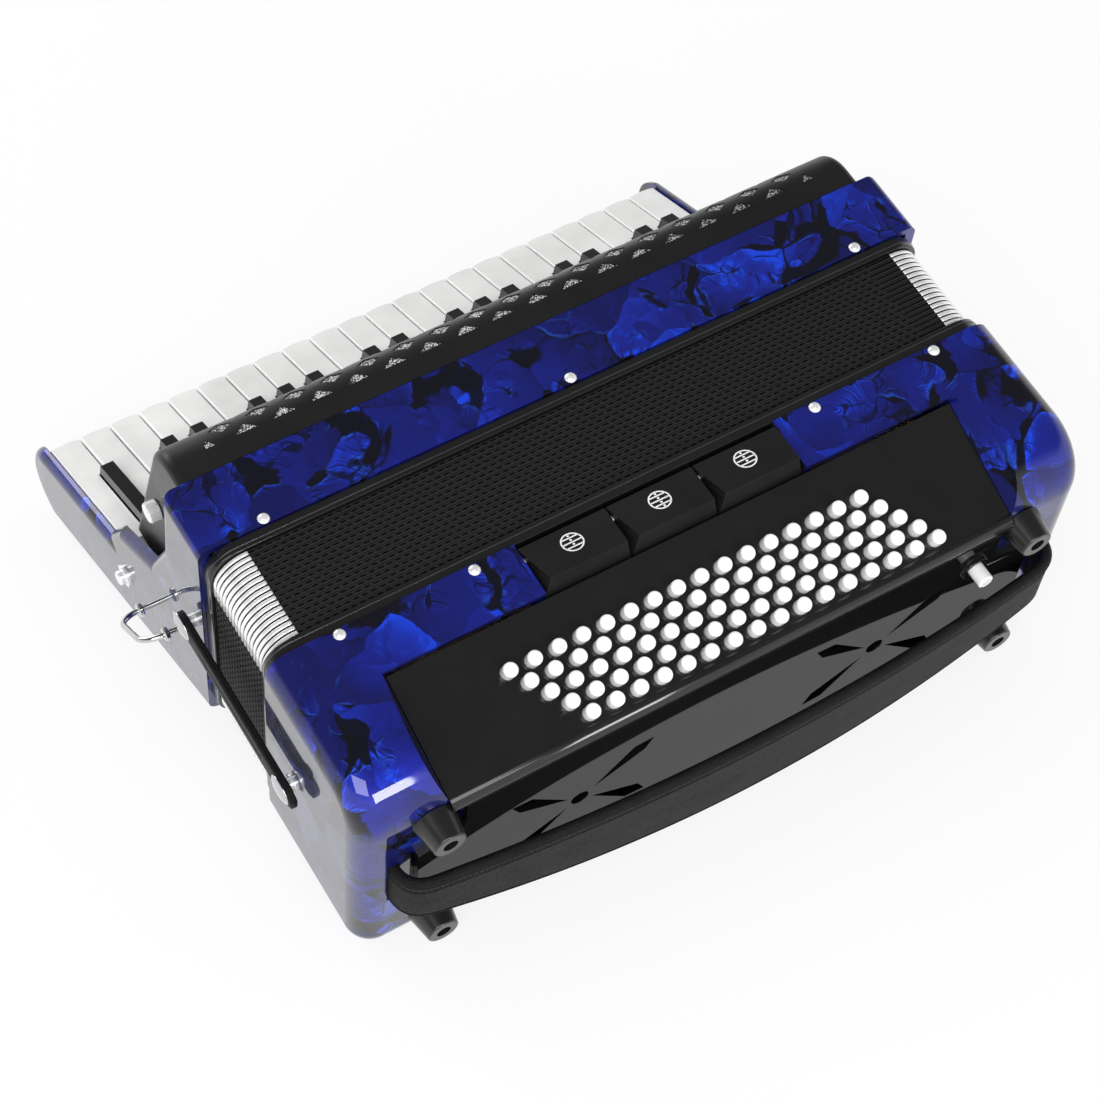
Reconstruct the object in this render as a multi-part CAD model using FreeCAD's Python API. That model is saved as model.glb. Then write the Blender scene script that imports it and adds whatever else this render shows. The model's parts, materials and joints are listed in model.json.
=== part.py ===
"""Piano accordion: 37 keys, 80 bass buttons, closed bellows, lying on its back.

The pieces are built in the instrument's own frame: X along the keyboard, Y from the bass side
to the keyboard side with the middle of the closed bellows at zero, Z towards the listener with
the front face at zero. At the end they are laid down as the instrument lies on a table, resting
on the edge of the bass case and on the two cheeks. Lengths are millimetres, angles degrees.
"""

import FreeCAD, Part
import math
import os

Vec = FreeCAD.Vector
X_DIR = Vec(1, 0, 0)
Y_DIR = Vec(0, 1, 0)
Z_DIR = Vec(0, 0, 1)

# Cases
case_depth = 165.0
wall = 4.0
cheek_thickness = 6.5
cheek_edge_radius = 6.2
key_side_gap = 0.4
contact_gap = 0.3
edge_tolerance = 0.03
overrun = 1.0

# Bellows and its frames
bellows_length = 56.0
fold_count = 17
bellows_end_inset = 2.0
bellows_front_drop = 3.0
bellows_corner_radius = 18.0
fold_depth = 4.5
fold_wall = 12.0
frame_thickness = 7.5
frame_end_inset = 2.5
frame_drop = 1.0
frame_corner_radius = 17.0
frame_rim = 12.0
inner_corner_radius = 9.0
guard_front_reach = 19.5
guard_side_reach = 14.0
guard_thickness = 0.6
guard_lap = 0.3
guard_width_share = 0.72

# Treble case outline, from the front panel down to the cheek
panel_edge_y = 77.0
shoulder_y = 82.0
shoulder_drop = 60.0
ledge_y = 102.5
ledge_drop = 104.0
step_y = 145.5
step_drop = 132.0
lip_y = 161.0
lip_drop = 157.5

# Keyboard wing: the plane of the key tops, its tilt and the place of the key tips
wing_tilt = 25.0
tip_y = 262.6
tip_drop = 212.6
cheek_height = 1.5
wing_depth = 52.84
nose_reach = 24.0
nose_low_reach = 8.0
slip_rail_depth = 8.0
slip_rail_top = 20.0
slip_rail_lap = 2.0
bed_top = 22.0
bed_thickness = 8.0
bed_back = 108.0
bed_front = 9.0

# Keys
white_count = 22
white_pitch = 19.6
key_gap = 0.7
white_length = 122.0
white_thickness = 12.0
white_tip_bow = 1.6
white_edge_radius = 1.2
black_setback = 46.7
black_width = 9.4
black_top_width = 8.2
black_height = 8.5
black_slope = 5.0
black_notch_gap = 0.7
black_groups = ((1,), (3, 4), (6, 7, 8), (10, 11), (13, 14, 15), (17, 18), (20, 21))
lever_width = 5.0
lever_depth = 9.0
axle_setback = 132.0
axle_drop = 14.0
axle_radius = 2.0
axle_clearance = 0.08
boss_radius = 5.5
arm_thickness = 3.0
arm_turn_setback = 12.0
pallet_width = 7.0
pallet_thickness = 3.5
pallet_top = 30.0
pallet_bottom = 74.0
pallet_clearance = 0.3

# Soundboard and reeds
board_top_y = 84.0
board_top_drop = 4.3
board_lean = 12.95
board_length = 136.0
board_thickness = 5.0
board_head_reach = 2.0
tone_hole_width = 5.6
tone_hole_length = 16.0
tone_hole_bridge = 4.0
block_end_gap = 24.0
block_thickness = 15.0
block_reach = 44.0
block_count = 3
block_first_drop = 34.0
block_pitch = 34.0
reed_cell_width = 14.0
reed_cell_wall = 3.4
reed_cell_length = 18.0

# Grille
grille_end_gap = 4.0
grille_wall = 2.2
grille_start_gap = 0.3
grille_flat_end_y = 88.0
grille_bend_radius = 24.0
grille_foot_y = 142.5
grille_foot_drop = 130.0
grille_end_radius = 5.0
opening_pitch = 22.0
opening_width = 14.0
opening_height = 10.0
opening_end_gap = 35.0
opening_cut_depth = 4.5
bend_row_shares = (0.38, 0.66)
triangle_base_y = 90.5
triangle_height = 6.0
triangle_half_width = 7.0
end_triangle_half_width = 3.5
wall_row_count = 4
wall_row_first = 5.0
wall_row_step = 10.0
mesh_thickness = 0.6
mesh_gap = 0.2
mesh_end_gap = 12.0

# Chrome fittings
pin_radius = 3.3
pin_height = 2.2
pin_shank_radius = 1.4
pin_inset = 3.5
treble_pin_end = 39.5
bass_pin_end = 40.7
bass_pin_inner_x = 104.2
thumb_screw_y = 106.0
thumb_screw_drop = 62.0
thumb_screw_radius = 6.0
thumb_screw_length = 7.0
thumb_screw_shank = 2.4
thumb_screw_chamfer = 0.7
thumb_screw_grooves = 24
thumb_screw_groove_radius = 0.5
stud_y = 139.0
stud_drop = 172.0
stud_radius = 7.0
stud_washer_thickness = 1.5
stud_head_radius = 4.5
stud_height = 5.5
stud_shank_radius = 2.0

# Shoulder strap loops
loop_low_y = 96.0
loop_low_drop = 138.0
loop_high_y = 62.0
loop_high_drop = 112.0
loop_wire_radius = 1.7
loop_straight = 13.0
loop_bend_radius = 11.0
loop_collar_radius = 4.2
loop_collar_length = 3.0
loop_collar_chamfer = 0.75
loop_collar_stand = 9.0

# Bellows straps
strap_drop = 77.0
strap_pivot_y = 44.0
strap_catch_y = 66.0
strap_half_width = 7.5
strap_end_reach = 3.75
strap_thickness = 4.0
strap_stand = 4.5
strap_pin_radius = 2.0
strap_pin_clearance = 0.08
catch_radius = 6.0
catch_neck_radius = 4.0
catch_flange_stand = 1.4
catch_flange_thickness = 1.05
cap_radius = 9.0
cap_height = 2.4
cap_aspect = 0.8

# Bass case
bass_outer_y = 134.0
bass_edge_radius = 34.0
bass_back_radius = 15.0
bass_end_radius = 15.0
bass_end_wall = 7.5
recess_end_gap = 50.2
recess_y = 68.5
recess_start_drop = 4.9
recess_slope = 19.4
recess_flare_share = 0.42
recess_wall_thickness = 13.0
button_board_thickness = 3.0
button_board_edge_radius = 6.0
button_board_front_y = 138.0
register_half_length = 79.3
register_floor = 12.5
register_wall = 4.0

# Bass buttons
button_rows = 5
button_columns = 16
button_pitch = 14.2
row_pitch = 9.2
button_first_x = 115.0
button_first_reach = 25.0
button_radius = 4.1
button_height = 7.5
button_stem = 14.0
button_stem_radius = 1.5
button_dome = 1.6
button_clearance = 0.45
button_guide_drop = 11.0
button_guide_thickness = 2.0
button_guide_margin = 9.2
button_guide_end_gap = 4.6

# Bass registers
register_count = 3
register_far_y = 39.0
register_near_y = 67.3
register_top_near_y = 64.3
register_rise = 5.0
register_sink = 3.5
register_gap = 0.8
register_side_bevel = 4.4
register_ridge_inset = 1.8
register_hinge_radius = 1.5
register_hinge_drop = 4.5
register_hinge_inset = 5.5
register_hinge_clearance = 0.08

# Bass end plate, feet and air button
end_plate_thickness = 4.0
end_plate_top_drop = 34.6
end_plate_end_gap = 31.5
end_plate_step = 27.0
end_plate_shoulder_drop = 56.0
end_plate_middle_drop = 66.0
end_plate_lower_rise = 27.0
end_plate_foot_rise = 17.0
end_plate_back_gap = 13.0
sound_inset = 12.0
rosette_x = 93.6
rosette_drop = 94.6
rosette_hole_radius = 5.2
leaf_root_x = 8.0
leaf_root_rise = 5.3
leaf_shoulder_x = 30.5
leaf_shoulder_rise = 28.3
leaf_tip_x = 42.4
leaf_tip_rise = 29.0
leaf_heel_x = 37.7
leaf_heel_rise = 20.0
foot_end_gap = 42.0
foot_front_drop = 40.0
foot_back_gap = 20.0
foot_base_radius = 12.0
foot_tip_radius = 9.0
foot_height = 16.5
foot_bore_radius = 4.2
foot_bore_depth = 6.0
foot_tip_edge_radius = 1.1
foot_peg_radius = 2.1
foot_seat_depth = 2.0
air_end_gap = 21.3
air_drop = 56.0
air_radius = 4.6
air_reach = 12.0
air_edge_radius = 1.15
air_collar_radius = 8.5
air_collar_inner = 6.2
air_collar_height = 2.5
air_stem = 16.0
air_clearance = 0.5

# Hand strap
hand_drop = 90.0
hand_slot_end = 19.5
hand_turn_run = 13.0
hand_turn_y = 150.0
hand_bow_y = 166.0
hand_start_y = 122.0
hand_thickness = 6.0
hand_end_half_width = 19.5
hand_mid_half_width = 28.0
hand_slot_gap = 0.3
hand_anchor_half = 9.0
hand_anchor_thickness = 5.0

# Bass reed blocks
bass_block_end_gap = 52.5
bass_block_reach = 34.0
bass_block_count = 3
bass_block_first_drop = 52.0
bass_block_pitch = 36.0
bass_sill_thickness = 5.0
bass_sill_y = 78.0

# Worked-out places
bellows_half = bellows_length / 2
seam_y = bellows_half + frame_thickness
tilt = math.radians(wing_tilt)
recess_angle = math.radians(recess_slope)
lean = math.radians(board_lean)
keyboard_half = white_count * white_pitch / 2
inner_half = keyboard_half + key_side_gap
case_half_length = inner_half + cheek_thickness
frame_half_length = case_half_length - frame_end_inset
bellows_half_length = frame_half_length - bellows_end_inset
block_half_length = inner_half - block_end_gap
grille_half_length = inner_half - grille_end_gap
grille_inside = grille_half_length - grille_wall
opening_count = int(2 * (grille_half_length - opening_end_gap) / opening_pitch) + 1
mesh_half_length = grille_half_length - mesh_end_gap
treble_pin_x = case_half_length - treble_pin_end
bass_pin_outer_x = case_half_length - bass_pin_end
board_half_length = case_half_length - recess_end_gap
end_plate_half_middle = case_half_length - end_plate_end_gap
end_plate_half_top = end_plate_half_middle - end_plate_step
end_plate_bottom_drop = case_depth - end_plate_back_gap
foot_x = case_half_length - foot_end_gap
foot_back_drop = case_depth - foot_back_gap
end_plate_lower_drop = foot_back_drop - end_plate_lower_rise
end_plate_foot_drop = foot_back_drop - end_plate_foot_rise
air_x = board_half_length - air_end_gap
hand_slot_x = case_half_length - hand_slot_end
hand_turn_x = hand_slot_x - hand_turn_run
bass_block_half_length = case_half_length - bass_block_end_gap


def wing(u, w):
    """Instrument Y and Z of a point u along the keys past their tips and w above their tops."""
    y = tip_y + u * math.cos(tilt) + w * math.sin(tilt)
    z = -tip_drop - u * math.sin(tilt) + w * math.cos(tilt)
    return y, z


def back_angle():
    """Slope of the treble case's back, from the case's depth at the seam to the wing's back."""
    y, z = wing(0, back_w)
    return math.atan2(-case_depth - z, y - seam_y)


back_w = -wing_depth
back_tilt = back_angle()


def board_point(s, n):
    """Instrument Y and Z of a point s down the soundboard and n out from its inner face."""
    y = board_top_y + s * math.sin(lean) + n * math.cos(lean)
    z = -board_top_drop - s * math.cos(lean) + n * math.sin(lean)
    return y, z


def recess_point(reach, rise):
    """Instrument Y and Z of a point reach down the button board and rise above its face."""
    y = -recess_y - reach * math.cos(recess_angle) - rise * math.sin(recess_angle)
    z = -recess_start_drop - reach * math.sin(recess_angle) + rise * math.cos(recess_angle)
    return y, z


def box(x0, x1, y0, y1, z0, z1):
    return Part.makeBox(x1 - x0, y1 - y0, z1 - z0, Vec(x0, y0, z0))


def arc_to(mid, end):
    return ("arc", mid, end)


def outline_wire(points, place):
    """Closed wire through 2-D points; an arc_to entry reaches its end over its middle point."""
    edges = []
    first = points[0]
    here = first
    for item in list(points[1:]) + [first]:
        if item[0] == "arc":
            end = item[2]
            edges.append(Part.Arc(place(here), place(item[1]), place(end)).toShape())
        else:
            end = item
            if math.dist(here, end) > 0:
                edges.append(Part.LineSegment(place(here), place(end)).toShape())
        here = end
    return Part.Wire(edges)


def x_prism(points, x0, x1):
    """Solid whose Y-Z outline runs along X from x0 to x1."""
    wire = outline_wire(points, lambda p: Vec(x0, p[0], p[1]))
    return Part.Face(wire).extrude(X_DIR * (x1 - x0))


def z_prism(points, z0, z1):
    """Solid whose X-Y outline runs along Z from z0 to z1."""
    wire = outline_wire(points, lambda p: Vec(p[0], p[1], z0))
    return Part.Face(wire).extrude(Z_DIR * (z1 - z0))


def y_prism(points, y0, y1):
    """Solid whose X-Z outline runs along Y from y0 to y1."""
    wire = outline_wire(points, lambda p: Vec(p[0], y0, p[1]))
    return Part.Face(wire).extrude(Y_DIR * (y1 - y0))


def rod(radius, start, direction, length):
    return Part.makeCylinder(radius, length, start, direction)


def fuse(shapes):
    """One solid out of pieces that touch or overlap."""
    whole = shapes[0].multiFuse(shapes[1:]) if len(shapes) > 1 else shapes[0]
    return whole.removeSplitter()


def group(shapes):
    """Several separate solids of one node."""
    solids = []
    for shape in shapes:
        solids.extend(shape.Solids)
    return Part.makeCompound(solids)


def mirrored(shape):
    return shape.mirror(Vec(0, 0, 0), X_DIR)


def both_ends(shape):
    return [shape, mirrored(shape)]


def ring_section(half_x, drop, corner, y):
    """Rounded rectangle of a bellows section at y: X-Z outline, drop inside the case depth."""
    front = -drop
    back = -case_depth + drop
    diagonal = corner * (1 - math.sqrt(1 / 2))
    points = [
        (-half_x + corner, front),
        (half_x - corner, front),
        arc_to((half_x - diagonal, front - diagonal), (half_x, front - corner)),
        (half_x, back + corner),
        arc_to((half_x - diagonal, back + diagonal), (half_x - corner, back)),
        (-half_x + corner, back),
        arc_to((-half_x + diagonal, back + diagonal), (-half_x, back + corner)),
        (-half_x, front - corner),
        arc_to((-half_x + diagonal, front - diagonal), (-half_x + corner, front)),
    ]
    return outline_wire(points, lambda p: Vec(p[0], y, p[1]))


def frame_ring(y0, y1):
    """Closed bellows frame between two places along the bellows."""
    outer = Part.Face(ring_section(frame_half_length, frame_drop, frame_corner_radius, y0))
    inner = Part.Face(
        ring_section(
            frame_half_length - frame_rim,
            frame_drop + frame_rim,
            inner_corner_radius,
            y0,
        )
    )
    return outer.cut(inner).extrude(Y_DIR * (y1 - y0))


# Treble case


def end_outline():
    """Y-Z outline of a treble end, from the bellows frame round the cheek's nose and back."""
    tip_top = wing(0, cheek_height)
    nose = wing(nose_reach, back_w / 2)
    nose_low = wing(nose_low_reach, back_w)
    lip_u = (lip_y - tip_y) * math.cos(tilt) - (tip_drop - lip_drop) * math.sin(tilt)
    return [
        (seam_y, 0),
        (panel_edge_y, 0),
        (shoulder_y, -shoulder_drop),
        (ledge_y, -ledge_drop),
        (step_y, -step_drop),
        (lip_y, -lip_drop),
        wing(lip_u - cheek_height, cheek_height),
        tip_top,
        arc_to(nose, nose_low),
        (seam_y, -case_depth),
    ]


def treble_end():
    """Left end wall with its cheek, its outer edge rounded."""
    plate = x_prism(end_outline(), -case_half_length, -inner_half)
    seam = []
    for edge in plate.Edges:
        box_of_edge = edge.BoundBox
        outer = box_of_edge.XMax < -case_half_length + contact_gap
        at_seam = box_of_edge.YMax < seam_y + contact_gap
        if outer and not at_seam:
            seam.append(edge)
    return plate.makeFillet(cheek_edge_radius, seam)


def treble_case():
    ends = both_ends(treble_end())
    panel = box(-inner_half, inner_half, seam_y, panel_edge_y, -wall, 0)
    back = x_prism(
        [
            (seam_y, -case_depth),
            wing(0, back_w),
            wing(0, back_w + wall),
            (seam_y, -case_depth + wall / math.cos(back_tilt)),
        ],
        -inner_half,
        inner_half,
    )
    rail = x_prism(
        [
            wing(-slip_rail_depth, -slip_rail_top),
            wing(0, -slip_rail_top),
            wing(0, back_w + slip_rail_lap),
            wing(-slip_rail_depth, back_w + slip_rail_lap),
        ],
        -inner_half,
        inner_half,
    )
    case = fuse(ends + [panel, back, rail])
    holes = []
    for x in (-treble_pin_x, 0, treble_pin_x):
        holes.append(pin_hole(x, seam_y + pin_inset))
    for side in (-1, 1):
        for y, drop, radius in (
            (stud_y, stud_drop, stud_shank_radius),
            (loop_low_y, loop_low_drop, loop_wire_radius),
            (loop_high_y, loop_high_drop, loop_wire_radius),
            (strap_pivot_y, strap_drop, strap_pin_radius),
        ):
            start = Vec(side * (inner_half - overrun), y, -drop)
            holes.append(rod(radius, start, X_DIR * side, cheek_thickness + 2 * overrun))
    return case.cut(holes)


def pin_hole(x, y):
    return rod(pin_shank_radius, Vec(x, y, -wall - overrun), Z_DIR, wall + 2 * overrun)


def pin(x, y):
    """Domed chrome pin that holds a bellows frame in its case."""
    sphere_radius = (pin_radius**2 + pin_height**2) / (2 * pin_height)
    dome = Part.makeSphere(sphere_radius, Vec(x, y, pin_height - sphere_radius))
    above = rod(pin_radius, Vec(x, y, 0), Z_DIR, pin_height)
    shank = rod(pin_shank_radius, Vec(x, y, -wall), Z_DIR, wall)
    return fuse([dome.common(above), shank])


def treble_soundboard():
    """Bent board between the grille's ends: a leaning part with the tone holes, and a foot."""
    half = grille_inside - contact_gap
    bottom = board_point(board_length, 0)
    bottom_out = board_point(board_length, board_thickness)
    floor_top = -case_depth + wall / math.cos(back_tilt)
    floor_z = floor_top - (bottom[0] - seam_y) * math.tan(back_tilt)
    floor_out = floor_top - (bottom_out[0] - seam_y) * math.tan(back_tilt)
    board = x_prism(
        [
            board_point(0, 0),
            board_point(0, board_thickness),
            bottom_out,
            (bottom_out[0], floor_out),
            (bottom[0], floor_z),
            bottom,
        ],
        -half,
        half,
    )
    head = box(
        -half, half, panel_edge_y - wall, board_top_y + board_head_reach,
        -wall - board_thickness, -wall,
    )
    holes = []
    for x in lever_places():
        for k in (0, 1):
            top = pallet_top + tone_hole_bridge + k * (tone_hole_length + tone_hole_bridge)
            holes.append(
                x_prism(
                    [
                        board_point(top, -overrun),
                        board_point(top, board_thickness + overrun),
                        board_point(top + tone_hole_length, board_thickness + overrun),
                        board_point(top + tone_hole_length, -overrun),
                    ],
                    x - tone_hole_width / 2,
                    x + tone_hole_width / 2,
                )
            )
    return fuse([board, head]).cut(holes)


def lever_places():
    """X of every key's lever, white keys first."""
    whites = [white_x(i) + white_pitch / 2 for i in range(white_count)]
    blacks = [white_x(i) for group_of in black_groups for i in group_of]
    return whites + blacks


def white_x(index):
    """X of the left side of a white key's place."""
    return -keyboard_half + index * white_pitch


def treble_reed_blocks():
    blocks = []
    for k in range(block_count):
        middle = -block_first_drop - k * block_pitch
        upper = middle + block_thickness / 2
        lower = middle - block_thickness / 2
        root_upper = board_top_y + (-board_top_drop - upper) * math.tan(lean)
        root_lower = board_top_y + (-board_top_drop - lower) * math.tan(lean)
        body = x_prism(
            [
                (root_upper, upper),
                (root_lower, lower),
                (root_lower - block_reach, lower),
                (root_lower - block_reach, upper),
            ],
            -block_half_length,
            block_half_length,
        )
        blocks.append(body.cut(reed_cells(root_lower - block_reach, upper, lower)))
    return group(blocks)


def reed_cells(y0, upper, lower):
    """Rows of reed chambers sunk into both faces of a block."""
    step = reed_cell_width + reed_cell_wall
    count = int(2 * (block_half_length - reed_cell_wall) / step)
    first = -count * step / 2 + reed_cell_wall / 2
    cells = []
    depth = block_thickness / 2 - reed_cell_wall / 2
    for i in range(count):
        x = first + i * step
        y1 = y0 + reed_cell_wall
        y2 = y1 + reed_cell_length
        cells.append(box(x, x + reed_cell_width, y1, y2, upper - depth, upper + overrun))
        cells.append(box(x, x + reed_cell_width, y1, y2, lower - overrun, lower + depth))
    return cells


# Keyboard


def in_wing(shape):
    """Moves a shape built with Y along the keys and Z above their tops into its place."""
    placed = shape.copy()
    placed.rotate(Vec(0, 0, 0), X_DIR, -wing_tilt)
    placed.translate(Vec(0, tip_y, -tip_drop))
    return placed


def lever(x):
    """Key lever behind the playing part: boss on the axle, arm up the soundboard, pallet."""
    half = lever_width / 2
    tail = in_wing(
        box(
            x - half, x + half, -axle_setback, -white_length + overrun,
            -axle_drop - lever_depth / 2, -axle_drop + lever_depth / 2,
        )
    )
    axle_y, axle_z = wing(-axle_setback, -axle_drop)
    boss = rod(boss_radius, Vec(x - half, axle_y, axle_z), X_DIR, lever_width)
    inner = board_thickness + pallet_clearance + pallet_thickness
    outer = inner + arm_thickness
    turn_in = board_point(board_length - arm_turn_setback, inner)
    turn_out = board_point(board_length - arm_turn_setback, outer)
    arm = x_prism(
        [
            board_point(pallet_top, inner),
            board_point(pallet_top, outer),
            turn_out,
            (axle_y + arm_thickness, axle_z),
            (axle_y - arm_thickness, axle_z),
            turn_in,
        ],
        x - arm_thickness / 2,
        x + arm_thickness / 2,
    )
    pallet = x_prism(
        [
            board_point(pallet_top, board_thickness + pallet_clearance),
            board_point(pallet_top, inner),
            board_point(pallet_bottom, inner),
            board_point(pallet_bottom, board_thickness + pallet_clearance),
        ],
        x - pallet_width / 2,
        x + pallet_width / 2,
    )
    bore = rod(
        axle_radius + axle_clearance, Vec(x - white_pitch, axle_y, axle_z), X_DIR,
        2 * white_pitch,
    )
    return [tail, boss, arm, pallet], bore


def has_black(index):
    """True when a black key stands on the line at the left of a white key's place."""
    return any(index in group_of for group_of in black_groups)


def white_key(index):
    left = white_x(index) + key_gap / 2
    right = left + white_pitch - key_gap
    middle = (left + right) / 2
    notch = black_width / 2 + black_notch_gap - key_gap / 2
    left_back = left + notch if has_black(index) else left
    right_back = right - notch if has_black(index + 1) else right
    setback = -black_setback + black_notch_gap
    plan = [
        (left, -white_tip_bow),
        arc_to((middle, 0), (right, -white_tip_bow)),
        (right, setback),
        (right_back, setback),
        (right_back, -white_length),
        (left_back, -white_length),
        (left_back, setback),
        (left, setback),
    ]
    cap = z_prism(plan, -white_thickness, 0)
    top_edges = []
    for edge in cap.Edges:
        bounds = edge.BoundBox
        if bounds.ZMin > -contact_gap and bounds.YMax > setback + contact_gap:
            top_edges.append(edge)
    cap = in_wing(cap.makeFillet(white_edge_radius, top_edges))
    parts, bore = lever(middle)
    return fuse([cap] + parts).cut(bore)


def black_key(index):
    x = white_x(index)
    low = black_width / 2
    high = black_top_width / 2
    base = -white_thickness
    sections = []
    ends = ((-black_setback, -black_setback - black_slope), (-white_length, -white_length))
    for y_low, y_high in ends:
        points = [
            Vec(x - low, y_low, base),
            Vec(x + low, y_low, base),
            Vec(x + low, y_low, 0),
            Vec(x + high, y_high, black_height),
            Vec(x - high, y_high, black_height),
            Vec(x - low, y_low, 0),
        ]
        sections.append(points)
    front, back = sections
    faces = [
        polygon(front[:3] + [front[5]]),
        polygon([front[5], front[2], front[3], front[4]]),
        polygon(back[:3] + [back[5]]),
        polygon([back[5], back[2], back[3], back[4]]),
        polygon([front[0], front[1], back[1], back[0]]),
        polygon([front[3], front[4], back[4], back[3]]),
        polygon([front[1], front[2], back[2], back[1]]),
        polygon([front[0], front[5], back[5], back[0]]),
        polygon([front[2], front[3], back[3], back[2]]),
        polygon([front[5], front[4], back[4], back[5]]),
    ]
    shell = Part.makeShell(faces)
    cap = Part.makeSolid(shell)
    if cap.Volume < 0:
        cap.reverse()
    parts, bore = lever(x)
    return fuse([in_wing(cap)] + parts).cut(bore)


def polygon(points):
    return Part.Face(Part.makePolygon(points + [points[0]]))


def keyboard_bed():
    return in_wing(
        box(
            -inner_half, inner_half, -bed_back, -bed_front,
            -bed_top - bed_thickness, -bed_top,
        )
    )


def key_axle():
    y, z = wing(-axle_setback, -axle_drop)
    return rod(axle_radius, Vec(-inner_half, y, z), X_DIR, 2 * inner_half)


# Grille


def grille_outline(inset):
    """Y-Z outer line of the grille moved in by inset: flat top, bend and key-side wall."""
    start = panel_edge_y + grille_start_gap
    radius = grille_bend_radius - inset
    lean_out = grille_wall_lean()
    middle = math.radians(45) + lean_out / 2
    centre_y = grille_flat_end_y
    centre_z = -grille_bend_radius
    end_y = centre_y + radius * math.cos(lean_out)
    end_z = centre_z + radius * math.sin(lean_out)
    foot_z = -grille_foot_drop
    return (
        (start, -inset),
        (centre_y, -inset),
        arc_to(
            (centre_y + radius * math.cos(middle), centre_z + radius * math.sin(middle)),
            (end_y, end_z),
        ),
        (end_y + (end_z - foot_z) * math.tan(lean_out), foot_z),
    )


def grille_band(inset, thickness, half_length):
    """Bent sheet that follows the grille's outer line."""
    outer = grille_outline(inset)
    inner = grille_outline(inset + thickness)
    points = list(outer)
    points.append(inner[3])
    points.append(inner[2][2])
    points.append(arc_to(inner[2][1], inner[1]))
    points.append(inner[0])
    return x_prism(points, -half_length, half_length)


def grille_wall_lean():
    """Lean from upright of the key-side wall, which runs on smoothly from the bend."""
    run = grille_foot_y - grille_flat_end_y
    fall = grille_foot_drop - grille_bend_radius
    return math.atan2(run, fall) - math.asin(grille_bend_radius / math.hypot(run, fall))


def opening_cutters():
    """Diamond and triangle openings along the top, the bend and the key-side wall."""
    cutters = []
    first = -(opening_count - 1) * opening_pitch / 2
    reach = opening_cut_depth
    for i in range(opening_count):
        x = first + i * opening_pitch
        for row, (y, z, angle) in enumerate(opening_rows()):
            shift = opening_pitch / 2 if row % 2 else 0
            if shift and i == opening_count - 1:
                continue
            cutters.append(diamond(x + shift, y, z, angle, reach))
    for i in range(opening_count + 1):
        x = first + (i - 1 / 2) * opening_pitch
        width = triangle_half_width if 0 < i < opening_count else end_triangle_half_width
        cutters.append(
            z_prism(
                [
                    (x - width, triangle_base_y),
                    (x + width, triangle_base_y),
                    (x, triangle_base_y + triangle_height),
                ],
                -reach,
                reach,
            )
        )
    return cutters


def opening_rows():
    """Place and tilt of each row of diamonds from the bend down to the key side."""
    rows = []
    for share in bend_row_shares:
        angle = share * math.pi / 2
        y = grille_flat_end_y + grille_bend_radius * math.sin(angle)
        z = -grille_bend_radius + grille_bend_radius * math.cos(angle)
        rows.append((y, z, angle))
    slope = grille_wall_lean()
    for k in range(wall_row_count):
        s = wall_row_first + k * wall_row_step
        y = grille_flat_end_y + grille_bend_radius * math.cos(slope) + s * math.sin(slope)
        z = -grille_bend_radius * (1 - math.sin(slope)) - s * math.cos(slope)
        rows.append((y, z, math.pi / 2 - slope))
    return rows


def diamond(x, y, z, angle, reach):
    """Diamond cutter whose axis leaves the grille at an angle from upright."""
    half_w = opening_width / 2
    half_h = opening_height / 2
    shape = z_prism([(-half_w, 0), (0, -half_h), (half_w, 0), (0, half_h)], -reach, reach)
    shape.rotate(Vec(0, 0, 0), X_DIR, -math.degrees(angle))
    shape.translate(Vec(x, y, z))
    return shape


def treble_grille():
    """Grille with closed ends: an outer block with rounded ends, hollowed and pierced."""
    outer = list(grille_outline(0))
    inner = list(grille_outline(grille_wall))
    foot_z = outer[3][1]
    start_y = outer[0][0]
    outer.append((start_y, foot_z))
    hollow = inner[1:] + [
        (inner[3][0], foot_z - overrun),
        (start_y - overrun, foot_z - overrun),
        (start_y - overrun, -grille_wall),
    ]
    block = x_prism(outer, -grille_half_length, grille_half_length)
    rims = []
    for x in (-grille_half_length, grille_half_length):
        for y, z in outer_midpoints(outer):
            rims.append(Vec(x, y, z))
    block = block.makeFillet(grille_end_radius, edges_through(block, rims))
    shell = block.cut(x_prism(hollow, -grille_inside, grille_inside))
    tools = opening_cutters()
    for side in (-1, 1):
        start = Vec(side * (grille_inside - overrun), thumb_screw_y, -thumb_screw_drop)
        tools.append(rod(thumb_screw_shank, start, X_DIR * side, grille_wall + 2 * overrun))
    return shell.cut(tools)


def outer_midpoints(line):
    """A point on each of the first three stretches of the grille's outer line."""
    start, flat_end, bend, foot = line[:4]
    return (
        ((start[0] + flat_end[0]) / 2, flat_end[1]),
        bend[1],
        ((bend[2][0] + foot[0]) / 2, (bend[2][1] + foot[1]) / 2),
    )


def edges_through(shape, points):
    """The edges of a shape that pass through any of the points."""
    found = []
    for edge in shape.Edges:
        if any(edge.distToShape(Part.Vertex(p))[0] < edge_tolerance for p in points):
            found.append(edge)
    return found


def grille_mesh():
    return grille_band(grille_wall + mesh_gap, mesh_thickness, mesh_half_length)


# Fittings on the treble ends


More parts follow.
